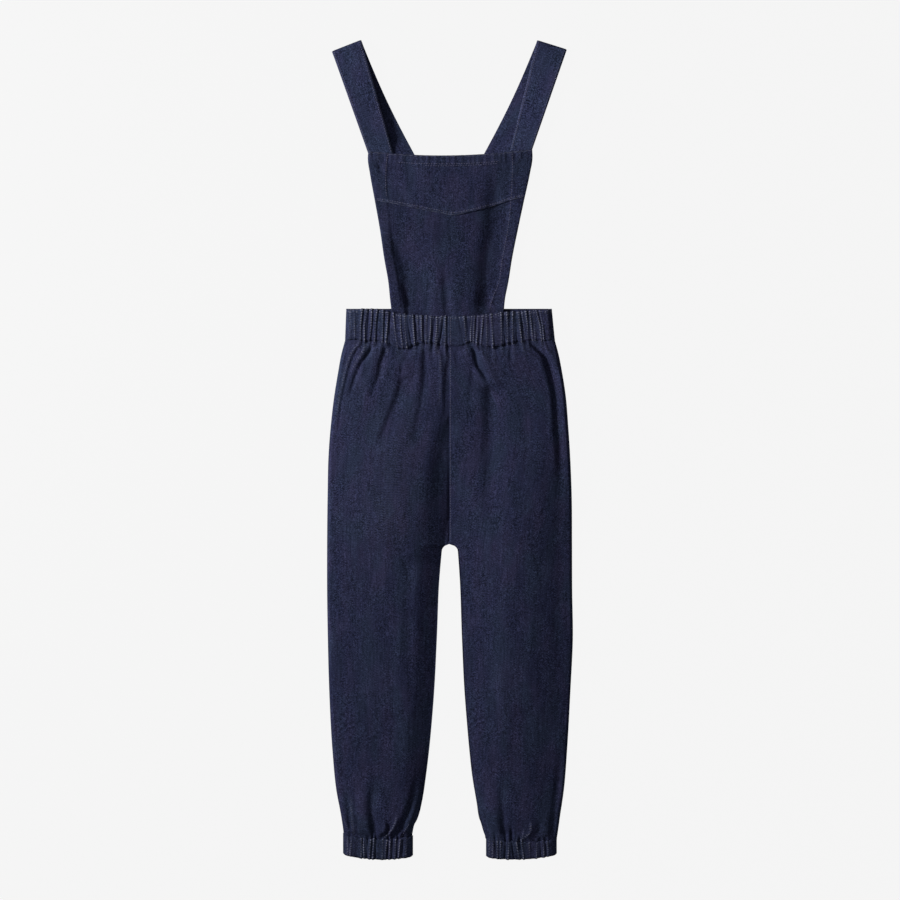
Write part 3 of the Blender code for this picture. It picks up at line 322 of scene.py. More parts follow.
# ---- Bib ----
Bib = namedtuple("Bib", "y right left right_hem left_hem")
BIB_SECTIONS = rows_of(Bib, [
    (146, -69, 64, 12, 14),
    (168, -70.4, 64.8, 12, 18),
    (182, -72, 66.2, 12, 16),
    (200, -73.8, 69.8, 12, 12.5),
    (230, -79, 74.6, 11.5, 12.5),
    (264, -84, 81.4, 12.5, 13),
    (298, -90, 88.6, 15, 16.5),
    (331, -96, 95.8, 20, 22),
    (350, -98.6, 99, 24, 25),
    (362, -97.6, 98.6, 26, 25.5),
])
BIB_TOP_HALF, BIB_TOP_Y, BIB_TOP_DIP, BIB_TOP_TILT = 97, 359.6, 6.2, 1.3
YOKE_SEAM = [(-98, 301), (-68, 296.6), (-42, 291.6), (-12, 285.6), (3.6, 283), (24, 286.6), (48, 292.8),
             (72, 300.6), (98, 306.5)]  # (x, y) of the shallow V across the bib
YOKE_LAP, YOKE_LIFT = 1.4, 1.3  # the yoke's folded edge lies on the lower bib
TOP_HEM, SEAM_HEM, HEM_STEP = 12, 6, 1
STITCH_IN = 3  # from a hem's inner edge, or up from the yoke's seam, to the line of stitches
SIDE_PUCKER, SEAM_PUCKER, BELOW_PUCKER = 4.5, 3.2, 4  # how wide the stitches' ripples are
TOP_EDGE_ROUND, TOP_EDGE_DROP = 1.6, 0.7
SEAM_EDGE_ROUND, SEAM_EDGE_DROP = 1.2, 0.5
PANEL_LAP, LINING_STEP = 0.6, 0.1  # the lower bib goes on under the yoke
EDGE_ROUND_WIDTH, EDGE_ROUND_DROP = 1.5, 0.5
BIB_UNDER_Z, BIB_TUCK_Z = 6.5, 9
BIB_LOWEST = 0.9  # where the folds come to rest on the straps' lower layers
BIB_RAMP = (212, 174.5)  # y: from here to here the bib rises into the waistband
BIB_TAIL_Y = 148
BAND_GRIP, GRIPPED_FOLDS = 6, 0.55  # the way in over which the band grips the folds, and what it leaves
BIB_CREASES = rows_of(Crease, [
    (-7.4, 12.5, [(146, 42), (168, 41), (190, 39.4), (213, 39), (243, 42), (273, 46), (310, 47),
        (330, 55), (350, 64)], 2),
    (-3.2, 6.4, [(146, 32.4), (170, 33), (200, 34.6)], 1.6),
    (1.2, 3, [(150, 40), (164, 43.5), (190, 50), (206, 53)]),
    (-5.6, 8.4, [(146, -47), (168, -49), (190, -53), (210, -57), (233, -64), (253, -70), (268, -73.6)], 4),
    (-3, 3.4, [(150, -51.6), (166, -53.2), (180, -55), (196, -58), (206, -60)], 1.4),
    (-1.5, 3.6, [(346, -88), (336, -85.4), (326, -82)]),
    (-3, 5.4, [(148, -6), (168, -7), (196, -8.8), (226, -10)], 1.6),
    (1.2, 4.6, [(150, -22), (172, -21.6), (216, -20)]),
    (0.8, 9, [(346, -34), (322, -36), (300, -36)]),
    (0.8, 9, [(276, -26), (240, -28), (206, -28)]),
    (-0.8, 7, [(340, 2), (322, 0), (304, -2)]),
])
HEM_PUCKER = 0.27
BIB_COLUMNS, YOKE_ROWS, PANEL_ROWS = 118, 56, 106

# ---- Straps ----
Strap = namedtuple("Strap", "name side fold_outer fold_inner bib_outer bib_inner waist_inner waist_outer"
                            " over under_z tilt twist level")
# Each strap's level (the last field) brightens its cloth, the left strap more than the right: painted light
# and shade for how light falls on each strap.
STRAPS = [
    Strap("strap_right", RIGHT, (-142, 478.6), (-106.8, 492.4), (-99.2, 358.6), (-68.4, 357.4),
          (46, BACK_TOP_Y + 0.3), (8.4, BACK_TOP_Y + 0.3), False, 8.4, 0, 3.6, 1.14),
    Strap("strap_left", LEFT, (140.4, 481.2), (104.8, 492.3), (98.8, 361), (72.8, 361.8),
          (-48.5, BACK_TOP_Y + 0.3), (-10.9, BACK_TOP_Y + 0.3), True, 4.8, 2.4, 0, 1.5),
]
STRAP_BOW, STRAP_BOW_SHARE = 3.2, 0.45  # the lower layer bows outwards on this share of its length
STRAP_TUCK = 13
STRAP_AT_BIB_Z = BIB_UNDER_Z - 0.3 - STRAP
STRAP_RISE = (0.84, 0.16)  # shares of the upper layer: where it rises to the bib, and for how long
CROSSING, CROSSING_RAMP = (186, 266), 16  # y: where one strap lies on the other
CROSSING_GAP = 0.3
TWIST_IN, TWIST_OUT = 0.1, (0.55, 0.15)  # shares of the lower layer: where its twist starts and ends
STRAP_HEM, STRAP_HEM_WIDTH, STRAP_PUCKER = 1.6, 2.2, 0.55
STRAP_COLUMNS, UPPER_ROWS, FOLD_ROWS, LOWER_ROWS = 22, 86, 15, 170
HEM_RUB, YOKE_RUB_AND_HIGHLIGHT, EDGE_RUB, RUB_WIDTH = 0.06, 0.22, 0.2, 1.2  # how worn the edges are; the light line on the yoke's top edge and seam is partly wear, partly painted highlight

# ---- Stitches ----
STITCH_PITCH, STITCH_LENGTH, STITCH_RADIUS = 3.0, 1.9, 0.27
STITCH_STATIONS = (-0.5, -0.25, 0.25, 0.5)  # shares of a stitch's length
STITCH_SIDES = 6
TOP_LINES = [(10.2, -62, 58, 60), (12.4, -30, 56, 40)]  # (below the top, from x, to x, points)
SEAM_LINE = (1.7, -88, 88, 80)  # the same, above the yoke's seam
RIGHT_LINE, LEFT_LINE, LINE_PAST_HEM = (304, 353.5, 20), (170, 356, 60), 0.9  # (from y, to y, points)
STRAP_LINES = (0.07, 0.93)  # shares of the strap's width
SEAM_STITCHES = [
    [(0.6, 159.0), (0.5, 126.0)],
    [(0.5, 123.0), (0.5, -104.0)],
    [(-48.7, -448.0), (-53.5, -455.0), (-57.5, -463.0)],
]

# ---- Denim: the colours are linear, with alpha ----
DENIM = (0.0187, 0.0219, 0.0510, 1.0)
PURPLE = (0.0210, 0.0214, 0.0490, 1.0)
TEAL = (0.0182, 0.0238, 0.0490, 1.0)
# The colour of rubbed cloth; on crests and rims it is also laid on as painted highlight.
WORN_AND_LIT = (0.160, 0.165, 0.220, 1.0)
THREAD = (0.092, 0.090, 0.145, 1.0)
CELLS_ACROSS, CELLS_ALONG = 920.0, 833.0  # floats of the weave in a metre
TWILL = (8200.0, 6100.0)  # radians a metre across and along: the weave's slanting lines
TWILL_BEAT = 2130.0  # radians a metre: where the weave shows as dots 2.95 mm apart
Noise = namedtuple("Noise", "across along detail rough moved", defaults=(0.5, 0.0))  # cycles a metre
PATCHES, HUES = Noise(58.0, 24.0, 2.0), Noise(44.0, 20.0, 1.0, 0.5, 3.7)
YARNS, FLECKS = Noise(760.0, 36.0, 2.0), Noise(620.0, 480.0, 1.0, 0.6)
CALM, CALM_GAIN = Noise(70.0, 34.0, 1.0, 0.5, 8.1), 3.0  # where the grains are weak and strong
PHASE, PHASE_SWAY = Noise(700.0, 12.0, 0.0), 24.0
DRIFT, DRIFT_SWAY = Noise(220.0, 10.0, 0.0), 12.0
HUE_GAIN, PURPLE_SHARE, TEAL_SHARE = 4.0, 0.4, 0.3
PLAIN_LIGHT = 0.97
FLECK_SHARE, GRAIN_SHARE, SPECK_SHARE, YARN_SHARE = 0.3, 0.8, 5.0, 0.95  # what each does to the brightness
PATCH_SHARE, DOT_SHARE, WEAVE_SHARE = 0.7, 0.24, 0.06
SPECK_FROM, DARKEST, CALM_LIMITS = 0.9, 0.3, (0.4, 1.4)
BEAD_SHARE, BEAD_GROUND = 1.35, 0.12  # the rubbed and highlighted marks are lines of light beads on a faint ground: wear, and painted highlight on crests and rims
WEAVE_BUMP, FLECK_BUMP, BUMP_STRENGTH, BUMP_DEPTH = 0.35, 1.6, 0.55, 0.00018
# How the legs' ridges, runs and crest lines are lightened, with troughs taking a little off: partly wear,
# partly painted highlight.
FOLD_RUB_AND_HIGHLIGHT, RUN_RUB_AND_HIGHLIGHT, LINE_RUB_AND_HIGHLIGHT, MOST_FOLD_RUB_AND_HIGHLIGHT = 0.02, 0.08, 0.36, 0.6
# The lower bib's cloth is darker than the yoke's: painted shade standing in for its folds.
BIB_SHADE_LEVEL = 0.92


def through(table, at):
    """Values at the keys `at`, on the smooth curve through a table of (key, value) pairs."""
    keys, values = np.array(sorted(table), float).T
    slopes = np.gradient(values, keys)
    at = np.clip(at, keys[0], keys[-1])
    i = np.clip(np.searchsorted(keys, at) - 1, 0, len(keys) - 2)
    step = keys[i + 1] - keys[i]
    t = (at - keys[i]) / step
    start = values[i] * (1 + 2 * t) + slopes[i] * step * t
    end = values[i + 1] * (3 - 2 * t) - slopes[i + 1] * step * (1 - t)
    return start * (1 - t) ** 2 + end * t * t


def column(table, field, at):
    return through([(row.y, getattr(row, field)) for row in table], at)


def straight(table, at):
    """Values at the keys `at`, on straight lines through a table of (key, value) pairs."""
    return np.interp(at, *np.array(table).T)


def ease(t):
    t = np.clip(t, 0.0, 1.0)
    return t * t * (3 - 2 * t)


def bell(t):
    """A hump of height 1 about t = 0 that is gone by t = 2."""
    return np.exp(-(t ** 2))


def rounding(from_edge, width):
    """From 1 on an edge to 0 at a width from it, as a rounded edge falls away."""
    return np.clip(1 - from_edge / width, 0, 1) ** 2


def join(*parts):
    return np.concatenate(parts)


def points_at(x, y, z):
    return np.stack([x, y, z], axis=1)


def crease_run(crease, y):
    """Where a crease is at each y, and how much of its height it has there."""
    ys = [point[0] for point in crease.path]
    length = max(ys) - min(ys)
    from_strong, from_faint = np.abs(y - ys[0]), np.abs(y - ys[-1])
    beyond = (y > max(ys)) | (y < min(ys))
    from_strong = np.where(beyond & (from_strong < from_faint), -from_strong, from_strong)
    from_faint = np.where(beyond & (from_faint < np.abs(from_strong)), -from_faint, from_faint)
    end = max(CREASE_END, crease.width)
    fade = ease(from_strong / end + AT_STRONG_END)
    fade = fade * ease(from_faint / max(end, FAINT_SHARE * length) + AT_FAINT_END)
    return through(crease.path, y), fade * np.clip(1 - CREASE_LOSS * np.abs(y - ys[0]) / length, 0, 1)


def crease_lines(creases, x, y):
    """How much the narrow ridges are lightened by their crests: wear, and painted highlight on the lit flank.
    """
    total = np.zeros_like(x)
    for crease in creases:
        if 0 < crease.height and crease.width < LINE_WIDTH:
            middle, fade = crease_run(crease, y)
            total += crease.height * fade * bell((x - middle) / CREST_WIDTH - SHADE_SHIFT)
    return total


def crease_height(creases, x, y):
    """What the creases add to the upper face at points (x, y)."""
    total = np.zeros_like(x)
    for crease in creases:
        middle, fade = crease_run(crease, y)
        across = (x - middle) / crease.width - SHADE_SHIFT
        across = np.where(across > 0, across / crease.open, across)
        lip = LIP if crease.height < 0 and crease.width < BROAD else 0.0
        total += crease.height * fade * (1 - lip * across ** 2) * bell(across)
    return total


def gather_x(gather, share_up):
    """Where a gather runs, at a share of the way from the band's lower edge to its upper edge."""
    return np.interp(share_up, [0.0, 0.5, 1.0], [gather.bottom, gather.middle, gather.top])


def swell(gather, share_up):
    """How a gather's height comes and goes along it."""
    return 1 + GATHER_SWELL * math.sin(gather.top * 1.7 + 4.6 * share_up)


def gather_height(gathers, tucks, x, share_up):
    total = np.zeros_like(x)
    for gather in gathers:
        across = x - gather_x(gather, share_up)
        across = np.where(across > 0, across / GATHER_FALL, across / GATHER_RISE)
        total += GATHER_SHARE * gather.height * swell(gather, share_up) * bell(across)
    for tuck in tucks:
        across = (x - TUCK_SHIFT - gather_x(tuck, share_up)) / TUCK_WIDTH
        total -= TUCK_SHARE * tuck.height * swell(tuck, share_up) * bell(across)
    return total


def gather_crests(gathers, x, share_up):
    """How much the gathers are lightened along their crests, set towards the light: thin lines of wear and
    painted highlight.
    """
    total = np.zeros_like(x)
    for gather in gathers:
        across = (x - gather_x(gather, share_up) + CREST_SHIFT) / CREST_WIDTH
        total += gather.height * swell(gather, share_up) * bell(across)
    return total


# ---- Meshes ----
def bridge(points, a, b):
    """Triangles between two runs of point numbers, always across the shorter diagonal."""
    triangles = []
    i = j = 0
    while i < len(a) - 1 or j < len(b) - 1:
        step_a = math.dist(points[a[i + 1]], points[b[j]]) if i < len(a) - 1 else math.inf
        step_b = math.dist(points[a[i]], points[b[j + 1]]) if j < len(b) - 1 else math.inf
        if step_a < step_b:
            triangles.append((a[i], b[j], a[i + 1]))
            i += 1
        else:
            triangles.append((a[i], b[j], b[j + 1]))
            j += 1
    return triangles


def thinned(grid, ring=False):
    """Every third row and column of a grid, always with the last ones."""
    rows, columns = grid.shape[:2]
    keep_rows = sorted({*range(0, rows, COARSE), rows - 1})
    keep_columns = sorted({*range(0, columns, COARSE), *([] if ring else [columns - 1])})
    return grid[np.ix_(keep_rows, keep_columns)]


def inside(grid, thickness):
    """The inner face of cloth whose outer face is a grid with columns to the right and rows downwards."""
    normal = np.cross(np.gradient(grid, axis=0), np.gradient(grid, axis=1))
    normal /= np.maximum(np.linalg.norm(normal, axis=2, keepdims=True), 1e-9)
    return thinned(grid - normal * thickness)


def cloth_coordinates(grid):
    """How far each point is across and along the cloth, measured on its surface, in metres."""
    across = np.linalg.norm(np.diff(grid, axis=1), axis=2)
    across = np.hstack([np.zeros((grid.shape[0], 1)), np.cumsum(across, axis=1)])
    across -= across[:, [grid.shape[1] // 2]]
    along = np.linalg.norm(np.diff(grid, axis=0), axis=2).mean(axis=1)
    along = join([0.0], np.cumsum(along))
    return across * MM, np.repeat(along[:, None], grid.shape[1], axis=1) * MM


def add(name, data):
    """A new object in the scene."""
    made = bpy.data.objects.new(name, data)
    bpy.context.scene.collection.objects.link(made)
    return made


def wall(name, outer, inner, cloth, ring=False, wear_and_highlight=None):
    """A wall of cloth between two grids of points, as (row, column, xyz) arrays in millimetres."""
    points, faces, edges, uv = [], [], [], []
    for grid, is_outer in ((outer, True), (inner, False)):
        rows, columns = grid.shape[:2]
        number = np.arange(rows * columns).reshape(rows, columns) + len(points)
        points += (grid.reshape(-1, 3) * MM).tolist()
        uv += np.stack(cloth_coordinates(grid), axis=2).reshape(-1, 2).tolist()
        if ring:
            number = np.hstack([number, number[:, :1]])
        quads = [number[:-1, :-1], number[1:, :-1], number[1:, 1:], number[:-1, 1:]]
        faces += np.stack(quads if is_outer else quads[::-1], axis=2).reshape(-1, 4).tolist()
        edges.append([part.tolist() for part in (number[0], number[-1], number[:, 0], number[:, -1])])
    (top, bottom, first, last), (top_in, bottom_in, first_in, last_in) = edges
    faces += bridge(points, top_in, top) + bridge(points, bottom, bottom_in)
    if not ring:
        faces += bridge(points, first, first_in) + bridge(points, last_in, last)
    mesh = bpy.data.meshes.new(name)
    mesh.from_pydata(points, [], faces)
    layer = mesh.uv_layers.new(name="cloth")
    corners = np.zeros(len(mesh.loops), np.int32)
    mesh.loops.foreach_get("vertex_index", corners)
    layer.data.foreach_set("uv", np.array(uv, np.float32)[corners].ravel())
    worn_and_lit = np.zeros(len(points), np.float32)
    if wear_and_highlight is not None:
        worn_and_lit[: wear_and_highlight.size] = wear_and_highlight.ravel()
    mesh.attributes.new("wear_and_highlight", "FLOAT", "POINT").data.foreach_set("value", worn_and_lit)
    mesh.shade_smooth()
    mesh.set_sharp_from_angle(angle=math.radians(80))
    mesh.materials.append(cloth)
    return add(name, mesh)


# ---- Materials ----
class Value:
    """What a node gives out: a number, a colour or coordinates. Numbers can be added and multiplied."""

    def __init__(self, socket):
        self.socket = socket
        self.tree = socket.id_data

    def maths(self, operation, other=None, clamp=False):
        return node(self.tree, "ShaderNodeMath", {0: self, 1: other}, operation=operation, use_clamp=clamp)

    def __add__(self, other):
        return self.maths("ADD", other)

    def __sub__(self, other):
        return self.maths("SUBTRACT", other)

    def __mul__(self, other):
        return self.maths("MULTIPLY", other)


def give(made, inputs):
    """Sets a node's inputs to numbers, colours or other nodes' values."""
    for key, value in inputs.items():
        if isinstance(value, Value):
            made.id_data.links.new(value.socket, made.inputs[key])
        elif value is not None:
            made.inputs[key].default_value = value


def node(tree, kind, inputs, output=0, **settings):
    """The value of a new node with these inputs and settings."""
    made = tree.nodes.new(kind)
    for key, value in settings.items():
        setattr(made, key, value)
    give(made, inputs)
    return Value(made.outputs[output])


def mapped(vector, **inputs):
    """Coordinates moved by `Location` or stretched by `Scale`."""
    return node(vector.tree, "ShaderNodeMapping", {"Vector": vector, **inputs})


def noise(at, kind):
    """Noise from 0 to 1 about 0.5 in cloth coordinates."""
    if kind.moved:
        at = mapped(at, Location=(kind.moved, kind.moved, kind.moved))
    at = mapped(at, Scale=(kind.across, kind.along, 1.0))
    inputs = {"Vector": at, "Scale": 1.0, "Detail": kind.detail, "Roughness": kind.rough}
    return node(at.tree, "ShaderNodeTexNoise", inputs, "Fac")


def cells(u, v, shift):
    """A random value from 0 to 1 for each float of the weave, in columns that are set off by half."""
    count_u = (u * CELLS_ACROSS).maths("FLOOR")
    count_v = (v * CELLS_ALONG + count_u.maths("MODULO", 2.0) * 0.5).maths("FLOOR")
    cell = node(u.tree, "ShaderNodeCombineXYZ", {0: count_u, 1: count_v, 2: shift})
    return node(u.tree, "ShaderNodeTexWhiteNoise", {"Vector": cell}, "Value", noise_dimensions="3D")


def spread(value, gain, middle, clamp=False):
    return ((value - 0.5) * gain).maths("ADD", middle, clamp)


def mix(share, a, b):
    return node(share.tree, "ShaderNodeMix", {"Factor": share, "A": a, "B": b}, "Result", data_type="RGBA")


def material(name, inputs):
    made = bpy.data.materials.new(name)
    made.use_nodes = True
    give(made.node_tree.nodes["Principled BSDF"], inputs)
    return made


def denim(name, level=1.0, shift=0.0):
    """Dark indigo twill: a diagonal weave, uneven yarns, flecks, faint patches, and ridges lightened by wear
    and by painted highlight.

    `level` is its brightness, and `shift` moves the pattern so that no two cloths have the same.
    """
    made = material(name, {"Roughness": 0.85, "Specular IOR Level": 0.02})
    tree = made.node_tree
    at = mapped(node(tree, "ShaderNodeUVMap", {}, uv_map="cloth"), Location=(shift, shift * 0.7, shift + 0.4))
    u, v = (node(tree, "ShaderNodeSeparateXYZ", {0: at}, axis) for axis in "XY")
    weave = (u * TWILL[0] + v * TWILL[1]).maths("SINE")
    patches, hues, yarns, flecks = (noise(at, kind) for kind in (PATCHES, HUES, YARNS, FLECKS))
    grains = cells(u, v, shift)
    dots = (v * TWILL_BEAT + noise(at, PHASE) * PHASE_SWAY).maths("SINE")
    purple = mix(spread(patches, HUE_GAIN, PURPLE_SHARE, clamp=True), DENIM, PURPLE)
    base = mix(spread(hues, HUE_GAIN, TEAL_SHARE, clamp=True), purple, TEAL)
    calm = spread(noise(at, CALM), CALM_GAIN, 1.0)
    calm = calm.maths("MAXIMUM", CALM_LIMITS[0]).maths("MINIMUM", CALM_LIMITS[1])
    specks = (grains - SPECK_FROM).maths("MAXIMUM", 0.0)
    light = (spread(flecks, FLECK_SHARE, PLAIN_LIGHT) + (grains - 0.5) * GRAIN_SHARE * calm
             + specks * SPECK_SHARE + (yarns - 0.5) * YARN_SHARE + (patches - 0.5) * PATCH_SHARE
             + dots * DOT_SHARE + weave * WEAVE_SHARE)
    light = (light * level).maths("MAXIMUM", DARKEST)
    scaled = node(tree, "ShaderNodeVectorMath", {0: base, "Scale": light}, operation="SCALE")
    beads = (v * TWILL_BEAT + noise(at, DRIFT) * DRIFT_SWAY).maths("SINE").maths("MAXIMUM", 0.0)
    # The wear_and_highlight attribute: rubbed edges, and painted highlight on crests, rims and puckers.
    rub_and_highlight = node(tree, "ShaderNodeAttribute", {}, "Fac", attribute_name="wear_and_highlight")
    colour = mix(rub_and_highlight.maths("MULTIPLY", beads * BEAD_SHARE + BEAD_GROUND, clamp=True), scaled, WORN_AND_LIT)
    height = weave * WEAVE_BUMP + flecks * FLECK_BUMP
    bump = {"Strength": BUMP_STRENGTH, "Distance": BUMP_DEPTH, "Height": height}
    bump = node(tree, "ShaderNodeBump", bump)
    give(tree.nodes["Principled BSDF"], {"Base Color": colour, "Normal": bump})
    return made


# ---- Trousers ----
def waist_bottom(x):
    return through(WAIST_BOTTOM, x)


def inseam_x(side, y):
    """The inner edge of a leg: the centre seam, then an arch, then the inseam."""
    edge = column(INSEAMS, SIDE_NAMES[side], np.minimum(y, INSEAMS[-1].y))
    fall = np.clip((CROTCH_Y - y) / ARCH_RISE, 0, 1)
    return CENTRE_SEAM_X + (edge - CENTRE_SEAM_X) * np.sqrt(1 - (1 - fall) ** 2)


def cuff_edge_y(cuff, x, at_ends, dip, tilt):
    """A cuff's upper or lower edge: it tilts a little, and dips between its ends."""
    share = np.clip((x - cuff.inner) / (cuff.outer - cuff.inner), 0, 1)
    return at_ends - dip * (1 - (2 * share - 1) ** 2) + tilt * (share - 0.5)


def cuff_top_y(cuff, x):
    """A cuff's upper edge, which its gathers pull out of line."""
    wave = 0.8 * np.sin(x * 0.52 + cuff.side) + 0.5 * np.sin(x * 1.18 + 2.0)
    return cuff_edge_y(cuff, x, cuff.top, cuff.top_dip, cuff.top_tilt) + wave


def cuff_bottom_y(cuff, x):
    """A cuff's lower edge, rounded up towards its ends."""
    from_end = np.minimum(np.abs(x - cuff.inner), np.abs(x - cuff.outer))
    corner = CUFF_END_RISE * rounding(from_end, CUFF_END_WIDTH)
    return cuff_edge_y(cuff, x, cuff.bottom, cuff.bottom_dip, cuff.bottom_tilt) + corner


def warped_y(side, x, row_y, front):
    """The y of a row's points: rows bend to meet the waistband above and the cuff below."""
    edge = waist_bottom(x) if front else np.full_like(x, BACK_BOTTOM_Y)
    to_waist = ease((row_y - WAIST_BLEND_Y) / (TOP_ROW_Y - WAIST_BLEND_Y)) * (edge - TOP_ROW_Y)
    to_cuff = ease((CUFF_BLEND_Y - row_y) / (CUFF_BLEND_Y - LAST_ROW_Y))
    return row_y + to_waist + to_cuff * (cuff_top_y(CUFF_OF[side], x) - LAST_ROW_Y)


def side_edge(side, y):
    """The width of a side's tight edge, and the width and height of the ramp inside it."""
    return [float(column(SIDE_EDGES, SIDE_NAMES[side] + part, y)) for part in ("", "_ramp", "_drop")]


def seam_share(width, y):
    """The share of a side's tight edge that the back panel covers, where its seam rolls forward."""
    return math.acos(1 - straight(SEAM_ROLL, y) / width) / (math.pi / 2)


def shoulder(p, steep):
    """How far in (0 to 1) and how far up (0 to 1) a rounded side is, a share p of the way along it."""
    round_in, round_up = 1 - np.cos(p * math.pi / 2), np.sin(p * math.pi / 2)
    slope = 2 / (1 + RAMP_SHARE)
    soft_up = np.where(p < RAMP_SHARE, slope * p, 1 - slope / 2 * (1 - p) ** 2 / (1 - RAMP_SHARE))
    return p + steep * (round_in - p), soft_up + steep * (round_up - soft_up)


def arch_crown(x, y):
    """How far up (0 to 1) the cloth may be at points round the top of the gap between the legs."""
    above = np.maximum(y - CROTCH_Y + ARCH_RISE, 0) * ARCH_HALF / ARCH_RISE
    away = np.clip((np.hypot(x - CENTRE_SEAM_X, above) - ARCH_HALF) / ARCH_ROUNDING, 0, 1)
    return np.sqrt(1 - (1 - away) ** 2)


def leg_rows():
    rows = []
    for high, low, step in ROW_STEPS:
        rows += list(np.linspace(high, low, round((high - low) / step) + 1)[:-1])
    return [*rows, ROW_STEPS[-1][1]]


def band_runs(runs, gathers, tucks, x, away):
    """Ridges and tucks that run on from a band into the leg, `away` from it by so much."""
    rng = random.Random(runs.seed)
    total = np.zeros_like(x)
    for gather in gathers:
        start = getattr(gather, runs.edge)
        length = rng.uniform(*runs.lengths)
        middle = start + (rng.uniform(-runs.slant, runs.slant) + start * runs.fan) * away
        across = (x - middle) / (RUN_WIDTH + away * RUN_FLARE)
        total += runs.share * gather.height * bell(away / length) * bell(across)
    for tuck in tucks:
        start = getattr(tuck, runs.edge)
        length = rng.uniform(*runs.tuck_lengths)
        middle = start + start * runs.fan * away + runs.tuck_shift
        across = (x - middle) / (TUCK_RUN_WIDTH + away * runs.tuck_flare)
        total -= runs.tuck_share * tuck.height * bell(away / length) * bell(across)
    return total


def leg_section(side, row_y):
    """A row of a leg's upper panel before its creases, from the side seam to the inner seam: x and z."""
    name, foot = SIDE_NAMES[side], SIDE_SEAM_Z
    loft = column(SIDES, "loft", row_y)
    seam = inseam_x(side, row_y)
    floor_x = CROTCH_FLOOR * ease((CROTCH_FLOOR_Y - row_y) / (CROTCH_FLOOR_Y - CROTCH_Y))
    floor_x = side * max(floor_x, abs(seam) + FLOOR_PAST_SEAM)
    width = column(VALLEYS, name + "_reach", row_y) - abs(floor_x)
    steep = float(np.clip(column(VALLEYS, name + "_steep", row_y), 0, 1))
    edge, ramp, drop = side_edge(side, row_y)
    start = seam_share(edge, row_y)
    edge_in, edge_up = shoulder(start + (1 - start) * np.linspace(0, 1, EDGE_COLUMNS), 1.0)
    ramp_in, ramp_up = shoulder(np.linspace(0, 1, SIDE_COLUMNS - EDGE_COLUMNS + 1)[1:], 0.0)
    inner_in, inner_up = shoulder(np.linspace(1, 0, SEAM_COLUMNS), steep)
    x_side = column(SIDES, name, row_y) - side * join(edge * edge_in, edge + ramp * ramp_in)
    x_seam = floor_x + side * width * inner_in
    level = np.linspace(x_side[-1], x_seam[0], LEVEL_COLUMNS)[1:-1]
    flat = np.linspace(floor_x, seam, FLOOR_COLUMNS)[1:]
    bottom = loft - min(column(VALLEYS, "depth", row_y), loft - foot)
    z = join(foot + (loft - drop - foot) * edge_up, loft - drop + drop * ramp_up, np.full_like(level, loft),
             bottom + (loft - bottom) * inner_up, np.full_like(flat, bottom))
    return join(x_side, level, x_seam, flat), z


def with_tucked_ends(grid, lift):
    """A panel with one more row at each end, which runs in under the waistband and the cuff."""
    first, last = grid[0] + [0, SEAM_TUCK, lift], grid[-1] + [0, -SEAM_TUCK, lift]
    return join(first[None], grid, last[None])


def leg_front(side, cloth):
    """The upper panel of a leg, from its side seam to the centre seam and inseam."""
    outer, rub_and_highlight = [], []
    cuff, foot = CUFF_OF[side], SIDE_SEAM_Z
    for row_y in leg_rows():
        x, z = leg_section(side, row_y)
        y = warped_y(side, x, row_y, True)
        rise = column(SIDES, "loft", row_y) - foot
        z = np.minimum(z, foot + rise * arch_crown(x, y))
        up = np.clip((z - foot) / rise, 0, 1) ** CREASE_ONSET
        below = np.maximum(waist_bottom(x) - y, 0)
        above = np.maximum(y - cuff_top_y(cuff, x), 0)
        runs = (band_runs(WAIST_RUNS, WAIST_GATHERS, WAIST_TUCKS, x, below)
                + band_runs(CUFF_RUNS[side], cuff.gathers, cuff.tucks, x, above))
        creases = crease_height(TROUSER_CREASES, x, y)
        free = ease(below / HELD_BY_WAIST) * ease(above / HELD_BY_CUFF)
        at_band = np.where(below < above, WAIST_LOFT - straight(WAIST_STEPS, x), CUFF_LOFT - CUFF_STEP)
        pinned = foot + (at_band - foot) * ((z - foot) / rise)
        z = pinned + (z + up * creases - pinned) * free + up * runs
        if row_y > CROTCH_Y:
            z = z - straight(SEAM_DIPS, row_y) * bell((x - inseam_x(side, row_y)) / SEAM_DIP_WIDTH)
        outer.append(points_at(x, y, z))
        # Light lines on ridges and raised folds: partly wear, partly painted highlight.
        lines = crease_lines(TROUSER_CREASES, x, y)
        wear_and_highlight = runs * RUN_RUB_AND_HIGHLIGHT + creases * FOLD_RUB_AND_HIGHLIGHT + lines * LINE_RUB_AND_HIGHLIGHT
        rub_and_highlight.append(np.clip(wear_and_highlight, 0, MOST_FOLD_RUB_AND_HIGHLIGHT) * up)
    grid, rub_and_highlight = with_tucked_ends(np.array(outer), -SEAM_DIP), np.array(rub_and_highlight)
    rub_and_highlight = join(rub_and_highlight[:1] * 0, rub_and_highlight, rub_and_highlight[:1] * 0)
    if side == LEFT:
        grid, rub_and_highlight = grid[:, ::-1], rub_and_highlight[:, ::-1]
    return wall("denim_leg_front_" + SIDE_NAMES[side], grid, inside(grid, FRONT_CLOTH), cloth, wear_and_highlight=rub_and_highlight)


def curled(x_edge, toward_middle, corner, turn, steps):
    """Section points of an edge that turns up from the surface, from the edge down."""
    angle = np.linspace(1.0, 0.0, steps) * math.pi / 2
    return x_edge + toward_middle * corner * (1 - np.sin(angle)), corner * turn * (1 - np.cos(angle))


